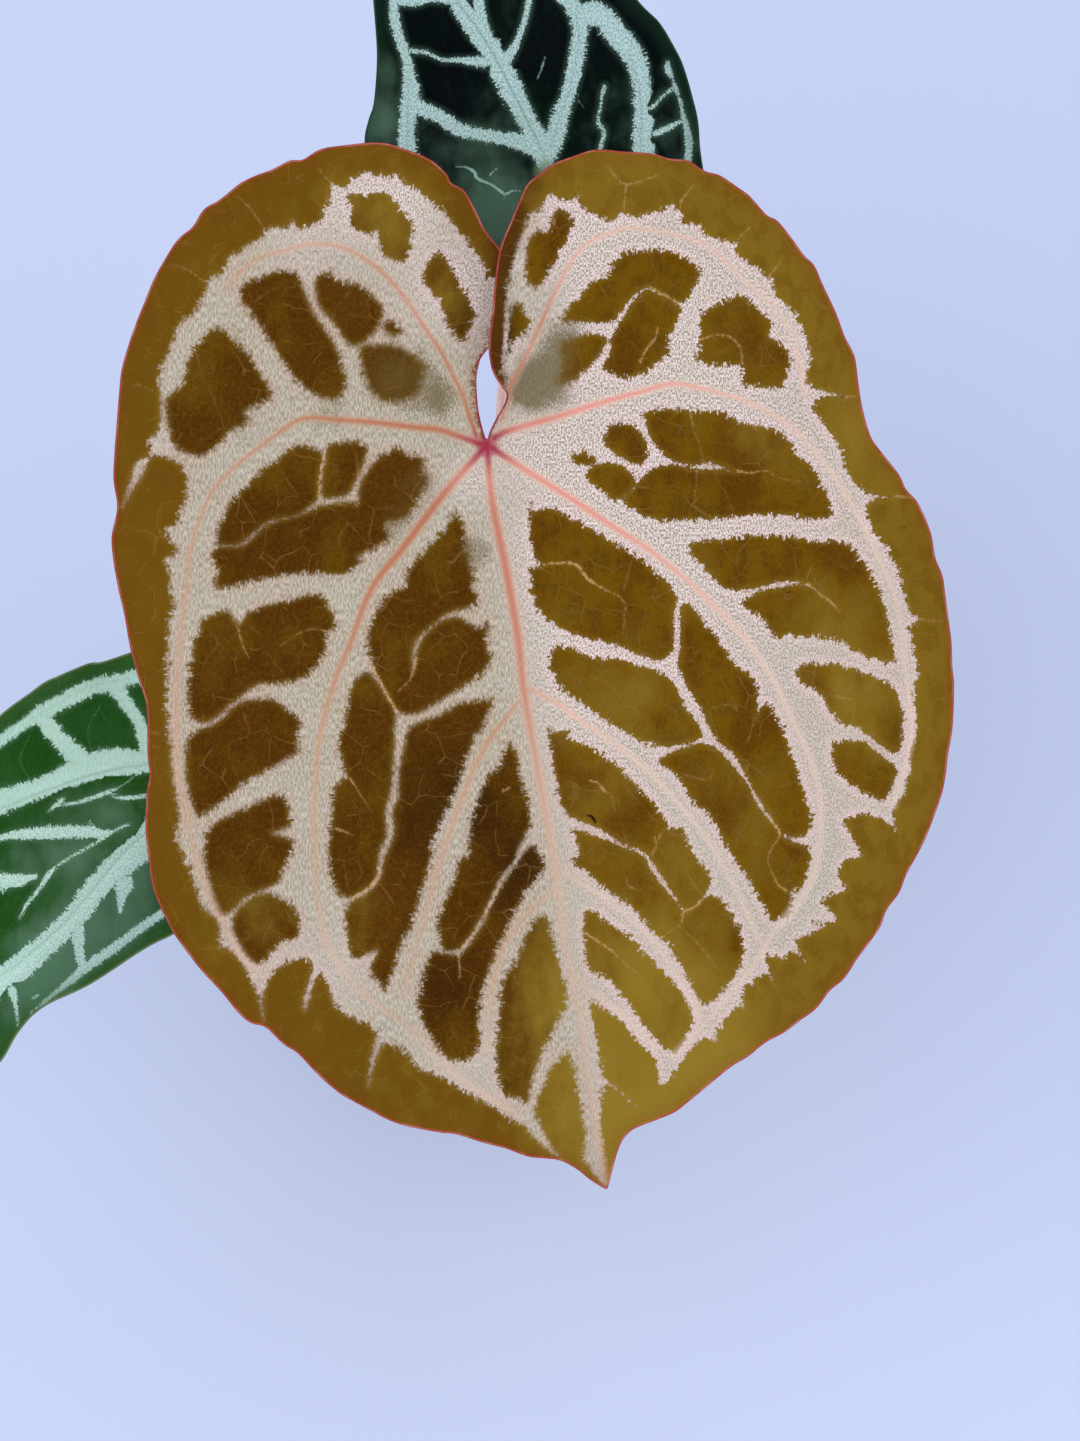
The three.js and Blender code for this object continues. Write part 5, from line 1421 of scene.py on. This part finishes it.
def make_petiole(name, depth_of, material):
    """One leaf stalk, its top cut to the underside of its blade"""
    end = np.array([PETIOLE_ENDS[name]], float)
    top = seen_at(end, depth_of(*end.T) + BLADE_THICKNESS / 2)
    path = curve_through(np.vstack([PETIOLE_PATHS[name], top]), PETIOLE_STEP, axes=3)
    vertices, faces, along, angle = stem(path, petiole_radius, PETIOLE_SIDES)
    to_knee = along.max() - along
    pixels, depth = seen_pixels(vertices)
    lowest = depth_of(*pixels.T) + UNDER_BLADE
    near_top = to_knee < 12
    vertices = vertices + (near_top * np.maximum(0, lowest - depth))[:, None] * VIEW_ALONG
    piece = add_mesh(f"petiole_{name}_skin", vertices, faces, [material])
    set_values(piece, {
        "along_mm": along, "to_knee_mm": to_knee,
        "round_mm": np.stack([3 * np.cos(angle), 3 * np.sin(angle), along], 1),
    })
    in_place_of(piece, f"petiole_{name}")


def petiole_skin(name, base, middle, top, knee, streak, glow):
    """Smooth waxy leaf stalk with fine long streaks and small pale lens-shaped pores"""
    f = Finish(name)
    along = f.read("along_mm")
    surface = f.read("round_mm", 1)
    streaks = f.grain(surface, (1.6, 1.6, 0.05), 3.0)
    blotches = f.grain(surface, (0.16, 0.16, 0.07), 3.0)
    pores = f.grain(surface, (2.2, 2.2, 0.8), 1.0)
    colour = f.painted(base, [
        (f.ramp(along, 8, 60), middle),
        (f.ramp(along, 70, 190), top),
        (f.ramp(blotches, 0.45, 0.7, 0.4), streak),
        (f.ramp(streaks, 0.5, 0.75, 0.45), streak),
        (f.ramp(f.read("to_knee_mm"), 20, 8), knee),
        (f.ramp(pores, 0.66, 0.74, 0.5), "#D8C9A8"),
    ])
    # Painted light: the upper end glows with its own colour, to brighten it in the blades' shade
    f.wear({"Emission Color": colour, "Emission Strength": f.ramp(along, 70, 140, glow),
            "Subsurface Weight": 0.12, "Subsurface Radius": (0.004, 0.002, 0.001)})
    return f.coat(colour, 0.38, streaks, 0.3, 0.15)


def make_stalks():
    """The three petioles"""
    # The pink stalks are pale at the top, partly their own pink and partly painted light, and glow
    # more than the green ones
    pink = petiole_skin("pink_petiole", "#8C8A5A", "#C79A86", "#F8D6CB", "#D08E84", "#B98C7C",
                        0.38)
    green = petiole_skin("green_petiole", "#7C8648", "#7F9A58", "#86A05E", "#8FA066", "#5F7A40",
                         0.05)
    make_petiole("young", young_depth, pink)
    make_petiole("back", back_depth, pink)
    make_petiole("side", side_depth, green)


def crown_skin():
    """Corky stem: brown and cracked, greener at the top, with pale roots"""
    f = Finish("corky_stem")
    spot = f.place_mm()
    cracks = f.grain(spot, (0.5, 0.5, 1.3), 5.0)
    clouds = f.grain(spot, (0.12, 0.12, 0.12))
    root = f.read("root")
    height = f.add("SeparateXYZ", {0: spot}, 2)
    colour = f.painted("#6E5130", [
        (f.ramp(clouds, 0.4, 0.65, 0.6), "#8A7A48"),
        (f.ramp(cracks, 0.52, 0.68, 0.8), "#33231A"),
        (f.ramp(height, 101, 110, 0.6), "#77803F"),
        (root, "#A99A74"),
        (f.ramp(cracks, 0.5, 0.66, f.times(root, 0.7)), "#6B573A"),
        (f.times(f.read("scar"), 0.8), "#3E2B1B"),
    ])
    return f.coat(colour, 0.75, cracks, 0.6, 0.5)


def bract_skin():
    """Old bract dried to brown paper, with long fibres"""
    f = Finish("dry_bract")
    fibres = f.grain(f.place_mm(), (1.6, 1.6, 0.1), 3.0)
    colour = f.painted("#8A6238", [
        (f.ramp(fibres, 0.4, 0.62), "#B98F5C"),
        (f.ramp(fibres, 0.45, 0.3, 0.8), "#4A2F1A"),
    ])
    return f.coat(colour, 0.7, fibres, 0.5, 0.3)


def lathe(profile, sides):
    """Turns (radius, height) pairs round Z; ends at radius 0 close the piece"""
    vertices = []
    starts = []
    for radius, height in profile:
        starts.append(len(vertices))
        if radius == 0:
            vertices.append((0, 0, height))
        else:
            vertices += [(radius * math.cos(a), radius * math.sin(a), height)
                         for a in circle(sides)]
    faces = []
    for i, (low, high) in enumerate(zip(starts, starts[1:])):
        for k in range(sides):
            ahead = (k + 1) % sides
            if profile[i][0] == 0:
                faces.append((low, high + ahead, high + k))
            elif profile[i + 1][0] == 0:
                faces.append((low + k, low + ahead, high))
            else:
                faces.append((low + k, low + ahead, high + ahead, high + k))
    return np.array(vertices, float), faces


def root_path(index):
    """An arching root from the crown into the mix, as in the solids"""
    angle = 2 * math.pi * (index + 0.35) / ROOT_COUNT + 0.25 * math.sin(3 * index)
    reach = 24 + 5 * math.sin(2.1 * index + 1)
    corners = [(7, 89, 0), (14, 96.5, 0.03), (21, 101.5, 0.1), (reach + 3, 99, 0.18),
               (reach + 10, 89, 0.26)]
    points = [(radius * math.cos(angle + turn), radius * math.sin(angle + turn), height)
              for radius, height, turn in corners]
    return curve_through(points, 0.8, axes=3)


def root_radius_of(index):
    """A radius for stem: thinner towards the root's end, with lumps of its own"""
    def root_radius(at, total, angle):
        lumps = 0.12 * np.sin(0.9 * at + index) + 0.08 * np.sin(2.3 * at + 2 * angle)
        return ROOT_RADIUS * (1 - 0.2 * at / total) + lumps
    return root_radius


def make_crown():
    """The short stem with its leaf scars, five thick roots and three dry bracts"""
    steps = 80
    sides = 64
    profile = [(0, CROWN_BOTTOM)]
    scars = [0.0]
    for i in range(steps + 1):
        t = i / steps
        taper = 1 - 0.35 * abs(2 * t - 1) ** 3
        ring = abs(math.sin(math.pi * t * (SCAR_COUNT + 1)))
        profile.append((CROWN_RADIUS * taper + 0.9 * ring,
                        CROWN_BOTTOM + t * (CROWN_TOP - CROWN_BOTTOM)))
        scars += [smooth_step(1 - ring, 0.72, 0.95)] * sides
    profile.append((0, CROWN_TOP))
    scars.append(0.0)
    body, faces = lathe(profile, sides)
    for i, point in enumerate(body):
        swell = noise.noise(Vector(point * 0.16)) + 0.5 * noise.noise(Vector(point * 0.5))
        body[i, :2] *= 1 + 0.045 * swell
    is_root = [0.0] * len(body)
    parts = [body]
    for index in range(ROOT_COUNT):
        vertices, more, _, _ = stem(root_path(index), root_radius_of(index), 16, len(is_root))
        parts.append(vertices)
        faces += more
        is_root += [1.0] * len(vertices)
        scars += [0.0] * len(vertices)
    crown = add_mesh("crown_stem", np.vstack(parts), faces, [crown_skin()])
    set_values(crown, {"root": is_root, "scar": scars})
    bracts = add_mesh("bracts", *make_bracts(), [bract_skin()])
    for piece in (crown, bracts):
        in_place_of(piece, "crown")


def bract_points(foot_angle, height, lean, rows, columns):
    """The inner and the outer face of one sheath, row by row from its foot"""
    points = []
    for thickness in (0, 0.5):
        for t in np.linspace(0, 1, rows):
            spread = 1.15 * (1 - t) ** 0.6 * (1 + 0.05 * math.sin(9 * t + foot_angle)) + 0.02
            for side in np.linspace(-1, 1, columns):
                angle = foot_angle + side * spread * (1 - 0.3 * t)
                crinkle = 0.5 * math.sin(7 * side + 5 * t) * t
                radius = 12.2 - 2.4 * (1 - t) + lean * t * t + crinkle + thickness
                points.append((radius * math.cos(angle), radius * math.sin(angle),
                               100 + height * t - 2.2 * side * side * t))
    return points


def make_bracts():
    """Three pointed papery sheaths round the bases of the petioles, each a thin closed sheet"""
    vertices = []
    faces = []
    rows = 24
    columns = 15
    size = rows * columns
    for foot_angle, height, lean in ((0.6, 31, 3.5), (2.9, 24, 5.5), (4.6, 35, 2.5)):
        first = len(vertices)
        vertices += bract_points(foot_angle, height, lean, rows, columns)
        for i in range(rows - 1):
            for k in range(columns - 1):
                a = first + i * columns + k
                faces.append((a, a + columns, a + columns + 1, a + 1))
                faces.append((a + size, a + size + 1, a + size + columns + 1,
                              a + size + columns))
        border = ([first + k for k in range(columns)]
                  + [first + i * columns + columns - 1 for i in range(1, rows)]
                  + [first + (rows - 1) * columns + k for k in range(columns - 2, -1, -1)]
                  + [first + i * columns for i in range(rows - 2, 0, -1)])
        for a, b in zip(border, border[1:] + border[:1]):
            faces.append((a, b, b + size, a + size))
    return vertices, faces


def pot_radius_at(height):
    wall_top = POT_TOP_RADIUS - RIM_LIP
    return POT_BASE_RADIUS + (wall_top - POT_BASE_RADIUS) * height / POT_HEIGHT


def mix_top_at(x, y):
    coarse = math.sin(0.21 * x + 1.3) * math.cos(0.17 * y - 0.4)
    fine = math.sin(0.47 * x - 0.33 * y + 0.8) + math.cos(0.39 * x + 0.52 * y)
    return MIX_TOP + 1.3 * coarse + 0.7 * fine


def pot_plastic():
    """Thin black moulded plastic: satin, with a faint grain and dust low down"""
    f = Finish("moulded_plastic")
    spot = f.place_mm()
    mould = f.grain(spot, (1.4, 1.4, 1.4))
    dust = f.grain(spot, (0.05, 0.05, 0.1), 4.0)
    height = f.add("SeparateXYZ", {0: spot}, 2)
    dusty = f.ramp(dust, 0.46, 0.72, f.ramp(height, 130, 10))
    colour = f.painted("#2A2B2E", [
        (f.ramp(mould, 0.5, 0.8, 0.3), "#3A3B3E"),
        (f.times(dusty, 0.5), "#5A5650"),
    ])
    return f.coat(colour, f.plus(dusty, 0.42, 0.3), mould, 0.15, 0.1)


def pot_profile():
    """The pot's section: under its base, up the outside, over the rolled rim and down inside"""
    foot = POT_HEIGHT - RIM_HEIGHT
    inner = RIM_LIP + POT_WALL
    wall_heights = (30, 60, 90)
    profile = [(0, 0.8), (POT_BASE_RADIUS - 5, 0.8), (POT_BASE_RADIUS - 4.4, 0.6),
               (POT_BASE_RADIUS - 4, 0), (POT_BASE_RADIUS - 1.2, 0), (POT_BASE_RADIUS - 0.3, 0.4),
               (POT_BASE_RADIUS + 0.1, 1.4)]
    profile += [(pot_radius_at(height), height) for height in (8, 8.6, *wall_heights, foot - 0.8)]
    profile += [(pot_radius_at(foot) + 0.4, foot - 0.2), (POT_TOP_RADIUS - 1.1, foot + 0.5),
                (POT_TOP_RADIUS - 0.3, foot + 1.0), (POT_TOP_RADIUS, foot + 2)]
    for angle in np.linspace(0, math.pi, 13):
        profile.append((POT_TOP_RADIUS - inner / 2 * (1 - math.cos(angle)),
                        POT_HEIGHT - RIM_ROUND * (1 - math.sin(angle))))
    profile.append((pot_radius_at(foot) - POT_WALL, foot))
    profile += [(pot_radius_at(height) - POT_WALL, height) for height in wall_heights[::-1]]
    profile += [(pot_radius_at(POT_FLOOR) - POT_WALL - 1, POT_FLOOR + 0.6),
                (pot_radius_at(POT_FLOOR) - POT_WALL - 2, POT_FLOOR), (0, POT_FLOOR)]
    return profile


def make_pot():
    """A round nursery pot with a rolled rim, a foot ring and drain holes"""
    plastic = pot_plastic()
    shell = add_mesh("pot_shell", *lathe(pot_profile(), 144), [plastic])
    drain_profile = [(0, -3), (DRAIN_RADIUS, -3), (DRAIN_RADIUS, 6), (0, 6)]
    drains = []
    for i, angle in enumerate(circle(DRAIN_COUNT)):
        vertices, faces = lathe(drain_profile, 40)
        vertices[:, 0] += DRAIN_CIRCLE * math.cos(angle)
        vertices[:, 1] += DRAIN_CIRCLE * math.sin(angle)
        drain = add_mesh(f"drain_{i}", vertices, faces, [plastic])
        cut = shell.modifiers.new(drain.name, "BOOLEAN")
        cut.object = drain
        cut.solver = "EXACT"
        drains.append(drain)
    cut_shell = bpy.data.meshes.new_from_object(
        shell.evaluated_get(bpy.context.evaluated_depsgraph_get()))
    shell.modifiers.clear()
    shell.data = cut_shell
    for drain in drains:
        bpy.data.objects.remove(drain)
    cut_shell.shade_smooth()
    cut_shell.set_sharp_from_angle(angle=math.radians(38))
    in_place_of(shell, "nursery_pot")


def mix_finish(name, dark, middle, light, rough):
    """Grainy loose stuff, each chip a little lighter or darker than the next"""
    f = Finish(name)
    grains = f.grain(f.place_mm(), (1.5, 1.5, 1.5), 5.0)
    colour = f.painted(middle, [
        (f.times(f.read("tint"), 0.8), light),
        (f.ramp(grains, 0.55, 0.35, 0.8), dark),
        (f.ramp(grains, 0.58, 0.75, 0.5), light),
    ])
    return f.coat(colour, rough, grains, 0.7, 0.4)


def unit_ball(detail):
    """A round ball to press chips and grains from"""
    scratch = bpy.data.meshes.new("ball")
    ball = bmesh.new()
    bmesh.ops.create_icosphere(ball, subdivisions=detail, radius=1)
    ball.to_mesh(scratch)
    ball.free()
    points = np.array([tuple(v.co) for v in scratch.vertices])
    faces = [tuple(p.vertices) for p in scratch.polygons]
    bpy.data.meshes.remove(scratch)
    return points, faces


def scattered(count, low_radius, high_radius, apart):
    """Seeded places on the mix, kept apart from one another"""
    kept = []
    tries = 0
    while len(kept) < count and tries < 40 * count:
        tries += 1
        radius = math.sqrt(rng.uniform(low_radius ** 2, high_radius ** 2))
        angle = rng.uniform(0, 2 * math.pi)
        spot = (radius * math.cos(angle), radius * math.sin(angle))
        if all((spot[0] - x) ** 2 + (spot[1] - y) ** 2 > apart ** 2 for x, y in kept):
            kept.append(spot)
    return kept


def pressed_chip(ball, is_bark):
    """A rough chip pressed from a ball, turned and tilted: flat and square for bark"""
    seed = Vector(rng.uniform(-50, 50, 3).tolist())
    rough = [1 + 0.35 * noise.noise(Vector(p) * 1.3 + seed) for p in ball]
    shape = ball * np.array(rough)[:, None]
    if is_bark:
        shape = np.sign(shape) * np.abs(shape) ** 0.72
        shape *= np.array([1, rng.uniform(0.45, 0.8), rng.uniform(0.22, 0.4)])
    else:
        shape *= rng.uniform(0.7, 1, 3)
    turn = rng.uniform(0, 2 * math.pi)
    tilt = rng.uniform(-0.5, 0.5)
    shape = shape @ np.array([[math.cos(tilt), 0, math.sin(tilt)], [0, 1, 0],
                              [-math.sin(tilt), 0, math.cos(tilt)]])
    return shape @ np.array([[math.cos(turn), math.sin(turn), 0],
                             [-math.sin(turn), math.cos(turn), 0], [0, 0, 1]])


def mix_body(edge):
    """The body of the mix, its top uneven but for a level line along the pot's wall"""
    bottom = POT_FLOOR + MIX_GAP
    rings = 56
    sides = 180
    profile = [(0, bottom), (pot_radius_at(bottom) - POT_WALL - MIX_GAP, bottom),
               (edge - 0.4, MIX_TOP - 1.5)]
    profile += [(edge * (1 - i / rings), MIX_TOP) for i in range(1, rings)]
    vertices, faces = lathe(profile + [(0, MIX_TOP)], sides)
    for i in np.flatnonzero(vertices[:, 2] > MIX_TOP - 2):
        x, y, _ = vertices[i]
        at = Vector((x, y, 0))
        lumps = 1.1 * noise.noise(at * 0.35) + 0.7 * noise.noise(at * 0.9)
        edge_share = smooth_step(edge - math.hypot(x, y), 0, 3)
        vertices[i, 2] = mix_top_at(x, y) - 1.6 + edge_share * lumps
    return vertices, faces


def make_mix():
    """The filling of the pot, with bark chips, perlite grains and coir crumbs on top"""
    edge = pot_radius_at(MIX_TOP) - POT_WALL - MIX_GAP
    body, faces = mix_body(edge)
    kinds = [0] * len(faces)
    tints = [0.1] * len(body)
    parts = [body]
    ball, ball_faces = unit_ball(2)
    for kind, count, apart, low, high in ((1, 420, 3.6, 2.4, 5.2), (2, 260, 2.6, 0.8, 1.9),
                                          (3, 300, 2.2, 0.7, 1.5)):
        for x, y in scattered(count, 15.5, edge - 3.5, apart):
            size = rng.uniform(low, high)
            shape = pressed_chip(ball, kind == 1)
            sunk = mix_top_at(x, y) - 0.9 + 0.25 * size * rng.uniform(-0.6, 0.6)
            parts.append(size * shape + np.array([x, y, sunk]))
            faces += [tuple(len(tints) + v for v in face) for face in ball_faces]
            kinds += [kind] * len(ball_faces)
            tints += [rng.uniform(0, 1)] * len(ball)
    materials = [
        mix_finish("peat_and_coir", "#1C130D", "#33241A", "#5A4230", 0.95),
        mix_finish("pine_bark", "#2E1B10", "#5C3A22", "#8F6440", 0.85),
        mix_finish("perlite", "#A8A296", "#DAD6CC", "#F2F0EA", 0.9),
        mix_finish("coir_crumbs", "#24170E", "#4A3220", "#7A5A3C", 0.9),
    ]
    piece = add_mesh("mix", np.vstack(parts), faces, materials, kinds)
    set_values(piece, {"tint": tints})
    in_place_of(piece, "potting_mix")


def make_camera():
    """Looks at the young blade square on, from 60 degrees up"""
    camera = bpy.data.cameras.new("view")
    camera.lens = LENS_LENGTH
    camera.sensor_fit = "VERTICAL"
    camera.sensor_width = SENSOR_LENGTH
    camera.sensor_height = SENSOR_LENGTH
    camera.clip_end = 10
    holder = bpy.data.objects.new("view", camera)
    holder.location = (YOUNG_BLADE_MIDDLE - VIEW_DISTANCE * VIEW_ALONG) * MM
    holder.rotation_euler = (math.pi / 2 - VIEW_ELEVATION, 0, 0)
    bpy.context.scene.collection.objects.link(holder)
    bpy.context.scene.camera = holder


def make_light(name, place_m, size_m, power):
    """A square soft white light that faces the plant"""
    light = bpy.data.lights.new(name, "AREA")
    light.size = size_m
    light.energy = power
    holder = bpy.data.objects.new(name, light)
    holder.location = place_m
    aim = Vector((0, -0.02, 0.2)) - Vector(place_m)
    holder.rotation_euler = aim.to_track_quat("-Z", "Y").to_euler()
    bpy.context.scene.collection.objects.link(holder)


def make_floor():
    """Pale paper that lies level and curves up far behind the plant; its sizes are in m"""
    start = -12
    bend_start = 1.4
    bend_radius = 0.8
    bend_steps = 24
    half_width = 9
    top = 2.6
    section = [(start, 0.0), (bend_start, 0.0)]
    for i in range(1, bend_steps + 1):
        angle = math.pi / 2 * i / bend_steps
        section.append((bend_start + bend_radius * math.sin(angle),
                        bend_radius * (1 - math.cos(angle))))
    section.append((bend_start + bend_radius, top))
    vertices = [(side * half_width / MM, y / MM, z / MM) for y, z in section for side in (-1, 1)]
    faces = [(2 * i, 2 * i + 1, 2 * i + 3, 2 * i + 2) for i in range(len(section) - 1)]
    # A little light of its own keeps the plant's shadow as faint as a bright room does
    paper = Finish("matt_paper").wear({
        "Base Color": "#C4CEE8", "Roughness": 0.9, "Specular IOR Level": 0.1,
        "Emission Color": "#C4CEE8", "Emission Strength": 0.16,
    })
    floor = add_mesh("floor", vertices, faces, [paper])


def make_studio():
    """A pale floor and soft light from above and both sides"""
    bpy.context.scene.view_settings.view_transform = "Standard"
    world = bpy.data.worlds.new("room")
    world.use_nodes = True
    background = world.node_tree.nodes["Background"]
    background.inputs["Color"].default_value = linear("#F4F6FF")
    background.inputs["Strength"].default_value = 0.56
    bpy.context.scene.world = world
    make_light("window", (-0.7, -0.9, 1.6), 1.4, 15)
    make_light("fill", (1.0, -0.6, 1.3), 1.6, 6.5)
    make_light("back", (0.2, 1.2, 1.1), 1.2, 4)
    make_floor()


make_camera()
make_studio()
make_leaves()
make_stalks()
make_crown()
make_mix()
make_pot()
